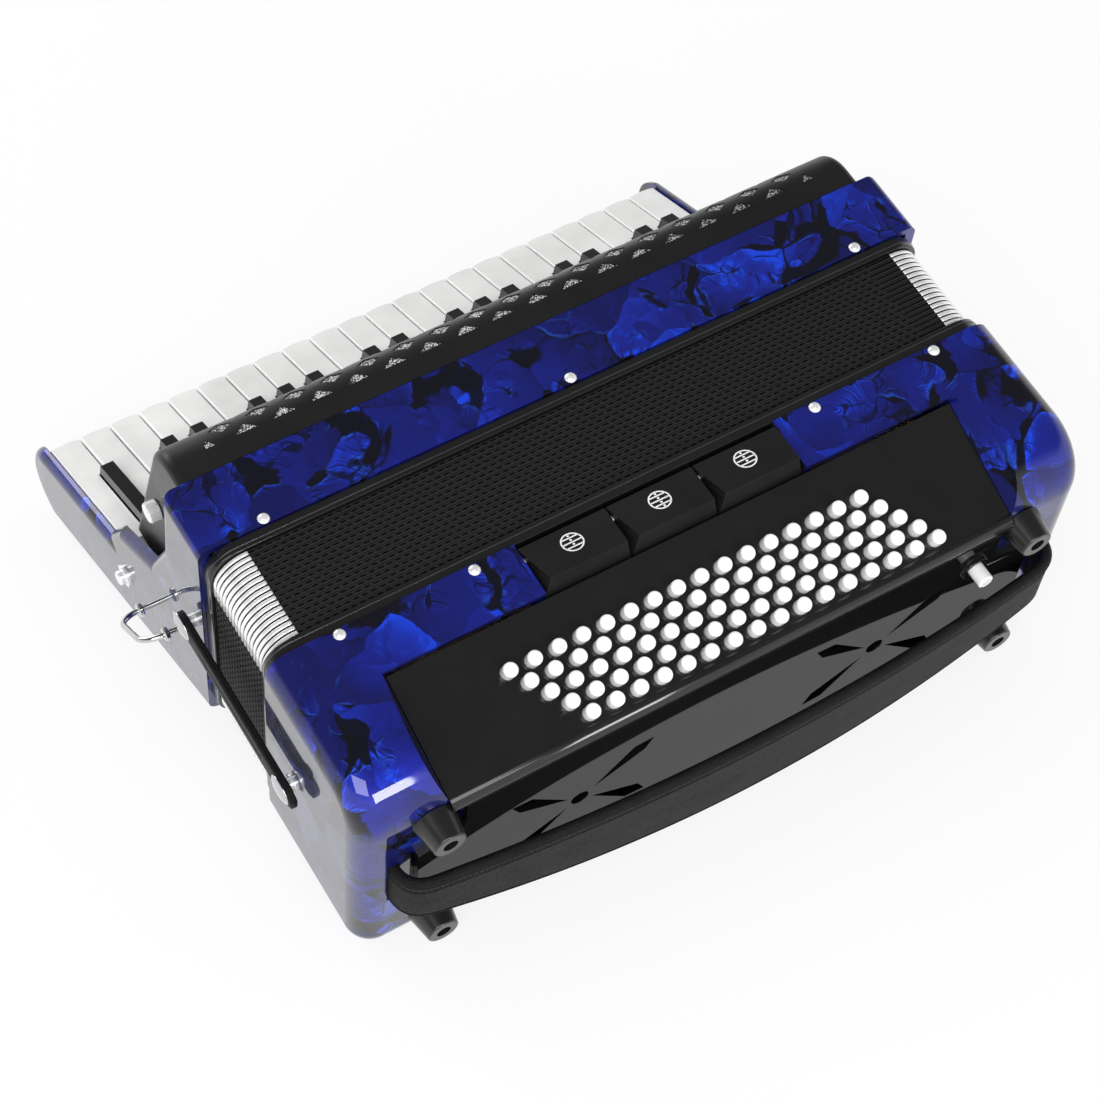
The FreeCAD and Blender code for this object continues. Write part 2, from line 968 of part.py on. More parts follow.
def thumb_screw():
    """Knurled screw that holds the grille, on the left end."""
    x = -grille_half_length - contact_gap
    centre = Vec(x, thumb_screw_y, -thumb_screw_drop)
    head = rod(thumb_screw_radius, centre, -X_DIR, thumb_screw_length)
    head = head.makeChamfer(thumb_screw_chamfer, round_edges(head))
    grooves = []
    for i in range(thumb_screw_grooves):
        angle = 2 * math.pi * i / thumb_screw_grooves
        y = thumb_screw_y + thumb_screw_radius * math.cos(angle)
        z = -thumb_screw_drop + thumb_screw_radius * math.sin(angle)
        grooves.append(rod(thumb_screw_groove_radius, Vec(x, y, z), -X_DIR, thumb_screw_length))
    length = grille_wall + contact_gap
    shank = rod(
        thumb_screw_shank - axle_clearance,
        centre + X_DIR * length,
        -X_DIR,
        length,
    )
    return fuse([head.cut(grooves), shank])


def round_edges(shape):
    return [edge for edge in shape.Edges if isinstance(edge.Curve, Part.Circle)]


def end_stud():
    """Chrome stud with its washer on the left end."""
    base = Vec(-case_half_length, stud_y, -stud_drop)
    washer = rod(stud_radius, base, -X_DIR, stud_washer_thickness)
    head = rod(stud_head_radius, base, -X_DIR, stud_height)
    head = head.makeFillet(stud_washer_thickness, [outer_rim(head, -1)])
    shank = rod(stud_shank_radius, base, X_DIR, cheek_thickness)
    return fuse([washer, head, shank])


def outer_rim(shape, side):
    """The round edge of a part that lies furthest out along X on one side."""
    return max(round_edges(shape), key=lambda edge: side * edge.BoundBox.Center.x)


def strap_post():
    """Post on the treble case that a bellows strap turns on."""
    base = Vec(-case_half_length, strap_pivot_y, -strap_drop)
    foot = rod(catch_neck_radius, base, -X_DIR, strap_stand - contact_gap)
    post = rod(strap_pin_radius, base, -X_DIR, strap_stand + strap_thickness - contact_gap)
    shank = rod(strap_pin_radius, base, X_DIR, cheek_thickness)
    return fuse([foot, post, shank])


def treble_fasteners():
    ends = []
    for piece in (thumb_screw(), end_stud(), strap_post()):
        ends += both_ends(piece)
    pins = [pin(x, seam_y + pin_inset) for x in (-treble_pin_x, 0, treble_pin_x)]
    return group(ends + pins)


def strap_loop():
    """Bent wire eye for a shoulder strap on the left end, with its two collars."""
    low = Vec(-case_half_length, loop_low_y, -loop_low_drop)
    high = Vec(-case_half_length, loop_high_y, -loop_high_drop)
    across = (high - low).normalize()
    out = -X_DIR
    a0 = low - out * cheek_thickness
    a1 = low + out * loop_straight
    b1 = high + out * loop_straight
    b0 = high - out * cheek_thickness
    bend = loop_bend_radius
    skew = bend * (1 - math.sqrt(1 / 2))
    a2 = a1 + out * bend + across * bend
    b2 = b1 + out * bend - across * bend
    a_mid = a1 + out * (bend - skew) + across * skew
    b_mid = b1 + out * (bend - skew) - across * skew
    edges = [
        Part.LineSegment(a0, a1).toShape(),
        Part.Arc(a1, a_mid, a2).toShape(),
        Part.LineSegment(a2, b2).toShape(),
        Part.Arc(b2, b_mid, b1).toShape(),
        Part.LineSegment(b1, b0).toShape(),
    ]
    path = Part.Wire(edges)
    profile = Part.Wire(Part.makeCircle(loop_wire_radius, a0, X_DIR))
    wire = path.makePipeShell([profile], True, True)
    collars = []
    for post in (low, high):
        collar = rod(loop_collar_radius, post + out * loop_collar_stand, out, loop_collar_length)
        collars.append(collar.makeChamfer(loop_collar_chamfer, round_edges(collar)))
    return fuse([wire] + collars)


def shoulder_strap_loops():
    return group(both_ends(strap_loop()))


# Bellows


def fold_places():
    """Y of every fold edge in turn, an inner one at both ends."""
    step = bellows_length / (2 * fold_count)
    return [-bellows_half + k * step for k in range(2 * fold_count + 1)]


def bellows_folds():
    wires = []
    for k, y in enumerate(fold_places()):
        inset = 0 if k % 2 else fold_depth
        wires.append(
            ring_section(
                bellows_half_length - inset,
                bellows_front_drop + inset,
                bellows_corner_radius - inset,
                y,
            )
        )
    outer = Part.makeLoft(wires, True, True)
    core = Part.Face(
        ring_section(
            bellows_half_length - fold_wall,
            bellows_front_drop + fold_wall,
            inner_corner_radius,
            -bellows_half - overrun,
        )
    ).extrude(Y_DIR * (bellows_length + 2 * overrun))
    return outer.cut(core)


def bellows_guards():
    """Metal corner of every fold, four to a fold, bent over the fold's edge."""
    guards = []
    step = bellows_length / fold_count
    width = step * guard_width_share
    for k in range(fold_count):
        y0 = -bellows_half + (k + 1 / 2) * step - width / 2
        guards += corner_clips(y0, y0 + width)
    return group(guards)


def corner_clips(y0, y1):
    """The four corner clips of one fold."""
    clips = []
    out = guard_lap
    inner = out + guard_thickness
    outer_face = Part.Face(
        ring_section(
            bellows_half_length + inner, bellows_front_drop - inner,
            bellows_corner_radius + inner, y0,
        )
    )
    inner_face = Part.Face(
        ring_section(
            bellows_half_length + out, bellows_front_drop - out,
            bellows_corner_radius + out, y0,
        )
    )
    band = outer_face.cut(inner_face).extrude(Y_DIR * (y1 - y0))
    reach = bellows_corner_radius + guard_front_reach - guard_side_reach
    side = bellows_corner_radius + guard_side_reach
    for sx in (-1, 1):
        for front in (True, False):
            x_outer = sx * (bellows_half_length + 2 * inner)
            x_inner = sx * (bellows_half_length - reach)
            z_edge = -bellows_front_drop + 2 * inner
            z_side = -bellows_front_drop - side
            if not front:
                z_edge, z_side = -case_depth - z_edge, -case_depth - z_side
            corner = box(
                min(x_outer, x_inner), max(x_outer, x_inner), y0 - overrun, y1 + overrun,
                min(z_edge, z_side), max(z_edge, z_side),
            )
            clips.append(band.common(corner))
    return clips


def treble_bellows_frame():
    return frame_ring(bellows_half, seam_y)


def bass_bellows_frame():
    return frame_ring(-seam_y, -bellows_half)


# Bellows straps


def bellows_strap():
    """Left strap: leather band over the bellows end with a domed cap on each snap."""
    x0 = -case_half_length - strap_stand
    x1 = x0 - strap_thickness
    half = strap_half_width
    y_a = strap_pivot_y
    y_b = -strap_catch_y - strap_end_reach
    z = -strap_drop
    band = x_prism(
        [
            (y_a, z + half),
            arc_to((y_a + half, z), (y_a, z - half)),
            (y_b, z - half),
            arc_to((y_b - half, z), (y_b, z + half)),
        ],
        x1,
        x0,
    )
    bore = rod(strap_pin_radius + strap_pin_clearance, Vec(x0 + overrun, y_a, z), -X_DIR,
               strap_thickness + 2 * overrun)
    caps = [snap_cap(x1, y) for y in (y_a, -strap_catch_y)]
    return group([band.cut(bore)] + caps)


def snap_cap(x, y):
    """Oval chrome cap, domed, seated on the strap's outer face."""
    sphere_radius = (cap_radius**2 + cap_height**2) / (2 * cap_height)
    dome = Part.makeSphere(sphere_radius, Vec(cap_height - sphere_radius, 0, 0))
    dome = dome.common(rod(cap_radius, Vec(0, 0, 0), X_DIR, cap_height))
    squeeze = FreeCAD.Matrix()
    squeeze.scale(-1, 1, cap_aspect)
    oval = dome.transformGeometry(squeeze)
    oval.translate(Vec(x, y, -strap_drop))
    return oval


# Bass case


def bass_outline():
    """Y-Z outline of the bass case with its large front edge, seen from the end."""
    outer = -bass_outer_y
    front = bass_edge_radius
    back = bass_back_radius
    front_mid = front * (1 - math.sqrt(1 / 2))
    back_mid = back * (1 - math.sqrt(1 / 2))
    return [
        (0, 0),
        (outer + front, 0),
        arc_to((outer + front_mid, -front_mid), (outer, -front)),
        (outer, -case_depth + back),
        arc_to((outer + back_mid, -case_depth + back_mid), (outer + back, -case_depth)),
        (0, -case_depth),
    ]


def inner_outline():
    """The same outline, one wall further in."""
    outer = -bass_outer_y + wall
    front = bass_edge_radius - wall
    back = bass_back_radius - wall
    front_mid = front * (1 - math.sqrt(1 / 2))
    back_mid = back * (1 - math.sqrt(1 / 2))
    top = -wall
    bottom = -case_depth + wall
    return [
        (0, top),
        (outer + front, top),
        arc_to((outer + front_mid, top - front_mid), (outer, top - front)),
        (outer, bottom + back),
        arc_to((outer + back_mid, bottom + back_mid), (outer + back, bottom)),
        (0, bottom),
    ]


def bass_case():
    block = x_prism(bass_outline(), -case_half_length, case_half_length)
    rims = []
    for edge in block.Edges:
        bounds = edge.BoundBox
        flat = bounds.XMax - bounds.XMin < contact_gap
        if flat and bounds.YMin < -contact_gap:
            rims.append(edge)
    block = block.makeFillet(bass_end_radius, rims)
    hollow_half = case_half_length - bass_end_wall
    hollow = x_prism(inner_outline(), -hollow_half, hollow_half)
    shell = fuse([block.cut(hollow)] + recess_walls() + [register_tray()])
    mouth = box(
        -case_half_length - overrun, case_half_length + overrun, -seam_y, overrun,
        -case_depth - overrun, overrun,
    )
    bend_z = recess_point(recess_length(), 0)[1] - button_board_edge_radius
    under = -button_board_thickness
    recess = x_prism(
        [
            recess_point(0, under),
            recess_point(recess_length() - button_board_edge_radius, under),
            recess_point(recess_length(), under - contact_gap),
            (-bass_outer_y - overrun, bend_z - contact_gap),
            (-bass_outer_y - overrun, overrun),
            (-recess_y, overrun),
        ],
        -case_half_length,
        case_half_length,
    ).common(recess_flare())
    notch = box(
        -register_half_length, register_half_length, -recess_y - overrun,
        -seam_y + overrun, -register_floor, overrun,
    )
    slots = []
    for side in (-1, 1):
        middle = side * hand_slot_x
        half = hand_thickness / 2 + hand_slot_gap
        tall = hand_end_half_width + hand_slot_gap
        slots.append(
            box(
                middle - half, middle + half, -bass_outer_y - overrun,
                -hand_start_y + wall, -hand_drop - tall, -hand_drop + tall,
            )
        )
    holes = [pin_hole(x, -seam_y - pin_inset) for x in bass_pin_places()]
    for x, drop in foot_places():
        holes.append(rod(foot_peg_radius, Vec(x, -bass_outer_y - overrun, -drop), Y_DIR,
                         foot_seat_depth + overrun))
    for side in (-1, 1):
        holes.append(rod(strap_pin_radius, Vec(side * (case_half_length + overrun),
                         -strap_catch_y, -strap_drop), -X_DIR * side, wall))
    holes.append(
        rod(air_radius + air_clearance, Vec(air_x, -bass_outer_y - overrun, -air_drop), Y_DIR,
            wall + 2 * overrun)
    )
    opening = y_prism(
        end_plate_points(-sound_inset), -bass_outer_y - overrun, -bass_outer_y + wall + overrun
    )
    return shell.cut([mouth, recess, notch, opening] + slots + holes)


def recess_flare():
    """Space over the button board whose end faces lean outwards as they rise."""
    high = board_half_length + recess_flare_share * bass_edge_radius
    low = -button_board_thickness - wall
    section = [
        (-board_half_length, low),
        (board_half_length, low),
        (board_half_length, 0),
        (high, bass_edge_radius),
        (-high, bass_edge_radius),
        (-board_half_length, 0),
    ]
    start = -bass_edge_radius
    length = recess_length() - 2 * start
    along = Vec(0, -math.cos(recess_angle), -math.sin(recess_angle))
    wire = outline_wire(section, lambda p: Vec(p[0], *recess_point(start, p[1])))
    return Part.Face(wire).extrude(along * length)


def recess_wall_foot(y):
    """Z of the underside of the recess walls at an instrument Y."""
    depth = -button_guide_drop - wall
    reach = (-y - recess_y - depth * math.sin(recess_angle)) / math.cos(recess_angle)
    return recess_point(reach, depth)[1]


def recess_walls():
    """Walls at both ends of the button board's recess, inside the case's outline."""
    depth = -button_guide_drop - wall
    end = recess_point(recess_length() + wall, depth)
    band = [
        recess_point(-wall, depth),
        end,
        (-bass_outer_y - overrun, end[1]),
        (-bass_outer_y - overrun, overrun),
        (-recess_y + wall, overrun),
    ]
    walls = []
    thickness = recess_wall_thickness
    for x in (-board_half_length - thickness, board_half_length):
        slab = x_prism(bass_outline(), x, x + thickness)
        walls.append(slab.common(x_prism(band, x - overrun, x + thickness + overrun)))
    return walls


def register_tray():
    """Block under the switches, which the switch notch is sunk into."""
    half = register_half_length + register_wall
    near = -recess_y + overrun
    return box(-half, half, near, -seam_y, -register_floor - register_wall, -overrun)


def recess_length():
    """Length of the button board down its slope, to where its front edge bends over."""
    run = button_board_front_y - button_board_edge_radius - recess_y
    return run / math.cos(recess_angle)


def bass_pin_places():
    return (-bass_pin_outer_x, -bass_pin_inner_x, bass_pin_inner_x, bass_pin_outer_x)


def foot_places():
    places = []
    for x in (-foot_x, foot_x):
        for drop in (foot_front_drop, foot_back_drop):
            places.append((x, drop))
    return places


def button_places():
    """X and reach down the board of every button, row by row."""
    rows = []
    for row in range(button_rows):
        reach = button_first_reach + row * row_pitch
        first = -button_first_x + row * button_pitch / 2
        rows.append([(first + k * button_pitch, reach) for k in range(button_columns)])
    return rows


def board_rod(x, reach, radius, low, high):
    """Rod square to the button board between two rises."""
    y, z = recess_point(reach, low)
    direction = Vec(0, -math.sin(recess_angle), math.cos(recess_angle))
    return rod(radius, Vec(x, y, z), direction, high - low)


def bass_button_board():
    length = recess_length()
    t = button_board_thickness
    top = recess_point(length, 0)
    front_y = -button_board_front_y
    drop = top[1] - button_board_edge_radius
    bend = button_board_edge_radius * math.sqrt(1 / 2)
    bend_mid = (top[0] - bend, drop + bend)
    inner = recess_point(length, -t)
    half = board_half_length - contact_gap
    board = x_prism(
        [
            recess_point(contact_gap, 0),
            top,
            arc_to(bend_mid, (front_y, drop)),
            (front_y + t, drop),
            inner,
            recess_point(contact_gap, -t),
        ],
        -half,
        half,
    )
    guide_low = -button_guide_drop
    guide_start = button_first_reach - button_guide_margin
    guide_end = length - button_guide_end_gap
    guide = x_prism(
        [
            recess_point(guide_start, guide_low),
            recess_point(guide_start, guide_low + button_guide_thickness),
            recess_point(guide_end, guide_low + button_guide_thickness),
            recess_point(guide_end, guide_low),
        ],
        -half,
        half,
    )
    posts = []
    for x in (-half, half - button_board_thickness):
        posts.append(
            x_prism(
                [
                    recess_point(guide_start, guide_low),
                    recess_point(guide_start, -t),
                    recess_point(guide_end, -t),
                    recess_point(guide_end, guide_low),
                ],
                x,
                x + button_board_thickness,
            )
        )
    holes = []
    for row in button_places():
        for x, reach in row:
            wide = button_radius + button_clearance
            holes.append(board_rod(x, reach, wide, -t - overrun, overrun))
            holes.append(
                board_rod(
                    x, reach, button_stem_radius + button_clearance, guide_low - overrun,
                    guide_low + button_guide_thickness + overrun,
                )
            )
    return fuse([board, guide] + posts).cut(holes)


def bass_button(x, reach):
    head = board_rod(x, reach, button_radius, -button_board_thickness, button_height)
    top = max(round_edges(head), key=lambda edge: edge.BoundBox.Center.z)
    head = head.makeFillet(button_dome, [top])
    stem = board_rod(x, reach, button_stem_radius, -button_stem, -button_board_thickness)
    return fuse([head, stem])


def bass_button_row(row):
    return group([bass_button(x, reach) for x, reach in button_places()[row]])


def register_places():
    pitch = 2 * register_half_length / register_count
    return [-register_half_length + (k + 1 / 2) * pitch for k in range(register_count)]


def register_switch(middle):
    """Rocker switch with a sloping top, its near edge raised and its sides bevelled."""
    half = register_half_length / register_count - register_gap / 2
    low = -register_sink - register_rise
    far = -register_far_y
    near = -register_near_y
    ridge = -register_top_near_y
    bevel = register_side_bevel
    side_low = register_ridge_inset
    corners = {
        "far_top": [Vec(middle - half, far, 0), Vec(middle + half, far, 0)],
        "ridge": [
            Vec(middle - half + bevel, ridge, register_rise),
            Vec(middle + half - side_low, ridge, register_rise),
        ],
        "near_low": [Vec(middle - half, near, low), Vec(middle + half, near, low)],
        "far_low": [Vec(middle - half, far, low), Vec(middle + half, far, low)],
    }
    wedge = hull_wedge(corners)
    hinge_y = -register_far_y - register_hinge_inset
    bore = rod(
        register_hinge_radius + register_hinge_clearance,
        Vec(middle - half - overrun, hinge_y, -register_hinge_drop),
        X_DIR,
        2 * (half + overrun),
    )
    return wedge.cut(bore)


def hull_wedge(corners):
    """Solid with plane faces through four pairs of corners, two of them the raised ridge."""
    a0, a1 = corners["far_top"]
    r0, r1 = corners["ridge"]
    n0, n1 = corners["near_low"]
    f0, f1 = corners["far_low"]
    faces = [
        polygon([a0, a1, r1]),
        polygon([a0, r1, r0]),
        polygon([r0, r1, n1]),
        polygon([r0, n1, n0]),
        polygon([f0, n0, n1, f1]),
        polygon([f0, f1, a1, a0]),
        polygon([f0, a0, r0]),
        polygon([f0, r0, n0]),
        polygon([f1, n1, r1]),
        polygon([f1, r1, a1]),
    ]
    solid = Part.makeSolid(Part.makeShell(faces))
    if solid.Volume < 0:
        solid.reverse()
    return solid


def register_axle():
    hinge_y = -register_far_y - register_hinge_inset
    return rod(
        register_hinge_radius,
        Vec(-register_half_length, hinge_y, -register_hinge_drop),
        X_DIR,
        2 * register_half_length,
    )


def end_plate_points(grow):
    """X-Z outline of the bass end plate, grown by a margin."""
    top = -end_plate_top_drop + grow
    bottom = -end_plate_bottom_drop - grow
    narrow = end_plate_half_top + grow
    wide = end_plate_half_middle + grow
    right = [
        (narrow, top),
        (narrow, -end_plate_shoulder_drop),
        (wide, -end_plate_middle_drop),
        (wide, -end_plate_lower_drop),
        (narrow, -end_plate_foot_drop),
        (narrow, bottom),
    ]
    left = [(-x, z) for x, z in reversed(right)]
    return right + left


def leaf(centre_x, side, up):
    """Leaf opening of a rosette, broad at its far end, on one side of it and above or below."""
    points = []
    for x, rise in (
        (leaf_root_x, leaf_root_rise),
        (leaf_shoulder_x, leaf_shoulder_rise),
        (leaf_tip_x, leaf_tip_rise),
        (leaf_heel_x, leaf_heel_rise),
    ):
        points.append((centre_x + side * x, -rosette_drop + up * rise))
    return y_prism(points, -bass_outer_y - end_plate_thickness - overrun, -bass_outer_y + overrun)


def bass_end_plate():
    y0 = -bass_outer_y - end_plate_thickness
    plate = y_prism(end_plate_points(0), y0, -bass_outer_y)
    holes = []
    for side in (-1, 1):
        centre_x = side * rosette_x
        for leaf_side in (-1, 1):
            for up in (-1, 1):
                holes.append(leaf(centre_x, leaf_side, up))
        centre = Vec(centre_x, y0 - overrun, -rosette_drop)
        holes.append(rod(rosette_hole_radius, centre, Y_DIR, end_plate_thickness + 2 * overrun))
    holes.append(
        rod(air_radius + air_clearance, Vec(air_x, y0 - overrun, -air_drop), Y_DIR,
            end_plate_thickness + 2 * overrun)
    )
    collar = rod(air_collar_radius, Vec(air_x, y0 - air_collar_height, -air_drop), Y_DIR,
                 air_collar_height)
    collar = collar.cut(
        rod(air_collar_inner, Vec(air_x, y0 - air_collar_height - overrun, -air_drop), Y_DIR,
            air_collar_height + 2 * overrun)
    )
    return fuse([plate.cut(holes), collar])


def air_button():
    y_tip = -bass_outer_y - end_plate_thickness - air_reach
    stem = rod(air_radius, Vec(air_x, y_tip, -air_drop), Y_DIR, air_reach + air_stem)
    tip = min(round_edges(stem), key=lambda edge: edge.BoundBox.Center.y)
    return stem.makeFillet(air_edge_radius, [tip])


def bass_feet():
    feet = []
    for x, drop in foot_places():
        base = Vec(x, -bass_outer_y, -drop)
        cone = Part.makeCone(foot_base_radius, foot_tip_radius, foot_height, base, -Y_DIR)
        tip = min(round_edges(cone), key=lambda edge: edge.BoundBox.Center.y)
        cone = cone.makeFillet(foot_tip_edge_radius, [tip])
        bore = rod(foot_bore_radius, base - Y_DIR * foot_height, Y_DIR, foot_bore_depth)
        peg = rod(foot_peg_radius, base, Y_DIR, foot_seat_depth)
        feet.append(fuse([cone.cut(bore), peg]))
    return group(feet)


def catch_stud():
    """Stacked stud on the bass case that a bellows strap closes on, at the left."""
    base = Vec(-case_half_length, -strap_catch_y, -strap_drop)
    height = strap_stand - contact_gap
    neck = rod(catch_neck_radius, base, -X_DIR, height)
    flange = rod(catch_radius, base - X_DIR * catch_flange_stand, -X_DIR, catch_flange_thickness)
    shank = rod(strap_pin_radius, base, X_DIR, wall - overrun)
    return fuse([neck, flange, shank])


def bass_fasteners():
    pins = [pin(x, -seam_y - pin_inset) for x in bass_pin_places()]
    return group(pins + both_ends(catch_stud()) + [register_axle()])


def hand_line(offset):
    """X-Y points of the hand strap's line, moved out by an offset from its middle."""
    x0 = hand_slot_x + offset
    start = -hand_start_y
    turn_y = -hand_turn_y - offset
    bend = hand_slot_x - hand_turn_x + offset
    skew = bend * (1 - math.sqrt(1 / 2))
    bend_y = turn_y + bend
    bow_y = -hand_bow_y - offset
    return [
        (-x0, start),
        (-x0, bend_y),
        arc_to((-x0 + skew, turn_y + skew), (-hand_turn_x, turn_y)),
        arc_to((0, bow_y), (hand_turn_x, turn_y)),
        arc_to((x0 - skew, turn_y + skew), (x0, bend_y)),
        (x0, start),
    ]


def hand_strap():
    """Leather hand strap from slot to slot, bowed away from the case, wider in the middle."""
    outer = hand_line(hand_thickness / 2)
    inner = hand_line(-hand_thickness / 2)
    back = [
        inner[5],
        inner[4][2],
        arc_to(inner[4][1], inner[3][2]),
        arc_to(inner[3][1], inner[2][2]),
        arc_to(inner[2][1], inner[1]),
        inner[0],
    ]
    reach = hand_mid_half_width + overrun
    band = z_prism(outer + back, -hand_drop - reach, -hand_drop + reach)
    x_end = hand_slot_x + hand_thickness
    end = hand_end_half_width
    mid = hand_mid_half_width
    lens = y_prism(
        [
            (-x_end, -hand_drop + end),
            (-hand_turn_x, -hand_drop + end),
            arc_to((0, -hand_drop + mid), (hand_turn_x, -hand_drop + end)),
            (x_end, -hand_drop + end),
            (x_end, -hand_drop - end),
            (hand_turn_x, -hand_drop - end),
            arc_to((0, -hand_drop - mid), (-hand_turn_x, -hand_drop - end)),
            (-x_end, -hand_drop - end),
        ],
        -hand_bow_y - hand_thickness,
        -hand_start_y + overrun,
    )
    strap = band.common(lens)
    anchors = []
    for side in (-1, 1):
        x = side * hand_slot_x
        anchors.append(
            box(x - hand_anchor_half, x + hand_anchor_half, -hand_start_y,
                -hand_start_y + hand_anchor_thickness, -hand_drop - end, -hand_drop + end)
        )
    return fuse([strap] + anchors)


def bass_reed_blocks():
    """Sill across the bass case and the reed blocks that stand on it towards the bellows."""
    half = case_half_length - bass_end_radius
    inner_front = recess_wall_foot(-bass_sill_y) - contact_gap
    inner_back = -case_depth + wall
    sill = box(-half, half, -bass_sill_y, -bass_sill_y + bass_sill_thickness, inner_back,
               inner_front)
    blocks = []
    for k in range(bass_block_count):
        middle = -bass_block_first_drop - k * bass_block_pitch
        y1 = -bass_sill_y + bass_sill_thickness
        body = box(
            -bass_block_half_length, bass_block_half_length, y1, y1 + bass_block_reach,
            middle - block_thickness / 2, middle + block_thickness / 2,
        )
        blocks.append(body)
    return fuse([sill] + blocks)


# Laying down: the instrument rests on the bass case's back edge and the cheeks' noses


def nose_circle():
    """Circle of the cheek's nose, whose underside touches the table."""
    top = Vec(0, *wing(0, cheek_height))
    middle = Vec(0, *wing(nose_reach, back_w / 2))
    low = Vec(0, *wing(nose_low_reach, back_w))
    return Part.Arc(top, middle, low).toShape().Curve


def rest_tilt():
    """Angle that brings the cheeks' noses level with the bass case's back edge."""
    nose = nose_circle()
    run = nose.Center.y + bass_outer_y - bass_back_radius
    fall = nose.Center.z + case_depth - bass_back_radius
    distance = math.hypot(run, fall)
    lean_back = math.asin((nose.Radius - bass_back_radius) / distance)
    return lean_back - math.atan2(fall, run)


def lay_down(shapes):
    """Turns all pieces about X and moves them so that they stand on Z zero, centred."""
    angle = math.degrees(rest_tilt())
    turned = {}
    for name, shape in shapes.items():
        piece = shape.copy()
        piece.rotate(Vec(0, 0, 0), X_DIR, angle)
        turned[name] = piece
    bounds = FreeCAD.BoundBox()
    for piece in turned.values():
        bounds.add(piece.optimalBoundingBox(False, False))
    shift = Vec(-bounds.Center.x, -bounds.Center.y, -bounds.ZMin)
    for piece in turned.values():
        piece.translate(shift)
    return turned, angle, shift


def all_pieces():
    pieces = {
        "treble_case": treble_case(),
        "keyboard_bed": keyboard_bed(),
        "key_axle": key_axle(),
        "treble_soundboard": treble_soundboard(),
        "treble_reed_blocks": treble_reed_blocks(),
        "treble_grille": treble_grille(),
        "grille_mesh": grille_mesh(),
        "treble_fasteners": treble_fasteners(),
        "shoulder_strap_loops": shoulder_strap_loops(),
        "treble_bellows_frame": treble_bellows_frame(),
        "bellows_folds": bellows_folds(),
        "bellows_guards": bellows_guards(),
        "bass_bellows_frame": bass_bellows_frame(),
        "bass_case": bass_case(),
        "bass_button_board": bass_button_board(),
        "bass_end_plate": bass_end_plate(),
        "bass_feet": bass_feet(),
        "bass_fasteners": bass_fasteners(),
        "bass_reed_blocks": bass_reed_blocks(),
        "hand_strap": hand_strap(),
        "air_button": air_button(),
        "bellows_strap_left": bellows_strap(),
        "bellows_strap_right": mirrored(bellows_strap()),
    }
    for i in range(white_count):
        pieces["white_key_%02d" % (i + 1)] = white_key(i)
    for k, members in enumerate(black_groups):
        pieces["black_keys_%d" % (k + 1)] = group([black_key(i) for i in members])
    for row in range(button_rows):
        pieces["bass_button_row_%d" % (row + 1)] = bass_button_row(row)
    for k, middle in enumerate(register_places()):
        pieces["bass_register_%d" % (k + 1)] = register_switch(middle)
    return pieces


def main():
    os.makedirs("parts", exist_ok=True)
    placed, angle, shift = lay_down(all_pieces())
    for name, shape in placed.items():
        shape.exportStep("parts/%s.step" % name)
    print("pieces", len(placed), "tilt", round(angle, 3), "shift", shift)


main()
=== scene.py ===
"""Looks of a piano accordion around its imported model."""

import json
import math

import bmesh
import bpy
from mathutils import Euler, Matrix, Vector


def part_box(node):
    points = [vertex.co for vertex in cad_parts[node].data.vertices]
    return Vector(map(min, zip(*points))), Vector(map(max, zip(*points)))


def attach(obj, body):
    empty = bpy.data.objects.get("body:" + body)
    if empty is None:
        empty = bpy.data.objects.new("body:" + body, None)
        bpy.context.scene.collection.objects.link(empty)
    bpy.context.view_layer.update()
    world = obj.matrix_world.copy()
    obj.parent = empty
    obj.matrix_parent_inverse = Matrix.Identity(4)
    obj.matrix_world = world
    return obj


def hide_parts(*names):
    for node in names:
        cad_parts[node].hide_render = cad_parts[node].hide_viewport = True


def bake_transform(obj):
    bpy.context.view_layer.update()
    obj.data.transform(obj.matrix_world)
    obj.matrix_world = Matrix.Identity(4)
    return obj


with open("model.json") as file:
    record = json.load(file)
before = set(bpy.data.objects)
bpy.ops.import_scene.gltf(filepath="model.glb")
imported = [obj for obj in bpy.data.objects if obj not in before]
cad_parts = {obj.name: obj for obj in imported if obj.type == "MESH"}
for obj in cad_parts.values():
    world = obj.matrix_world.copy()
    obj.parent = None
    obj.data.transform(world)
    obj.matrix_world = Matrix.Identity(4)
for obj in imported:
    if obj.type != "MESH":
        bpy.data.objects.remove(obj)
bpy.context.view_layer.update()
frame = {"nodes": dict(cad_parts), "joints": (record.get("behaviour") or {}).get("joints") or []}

bl_info = {
    "name": "Piano accordion",
    "version": (1, 0, 0),
    "blender": (4, 5, 0),
    "location": "View3D > Sidebar > Accordion",
    "description": "Builds the finishes, bellows, straps and stage of a piano accordion",
    "category": "Object",
}

MM = 0.001
WHITE = (1.0, 1.0, 1.0)

# Sizes of the instrument that its pieces share, in millimetres in the instrument's own frame:
# X along the keyboard, Y from bass to treble with the bellows' middle at zero, Z to the front.
CASE_HALF = 222.5
CASE_DEPTH = 165.0
BELLOWS_HALF = 28.0
STRAP_PIVOT = (44.0, -77.0)
STRAP_CATCH_Y = -66.0
STRAP_BASS_END_Y = -77.2
STRAP_STAND = 4.5
HAND_DROP = 90.0
HAND_SLOT_X = 203.0
HAND_TURN_X = 190.0
HAND_START_Y = -122.0
HAND_TURN_Y = -150.0
HAND_BOW_Y = -166.0
REGISTER_PITCH = 52.87
REGISTER_FAR_Y = -39.0
REGISTER_RIDGE_Y = -64.3
REGISTER_RISE = 5.0

# Seams of the hand strap, from its upper edge, and the last from its lower edge.
STITCH_ROWS = (5.6, 8.6)
LOWER_SEAM = 3.6
ROLL_SEAM = 2.6
# Places and widths of the painted shade along the strap's seam grooves.
SEAM_SHADE_LINES = ((ROLL_SEAM, 0.6), (STITCH_ROWS[0], 0.7), (STITCH_ROWS[1], 0.7), (-LOWER_SEAM, 0.7))


# Placing


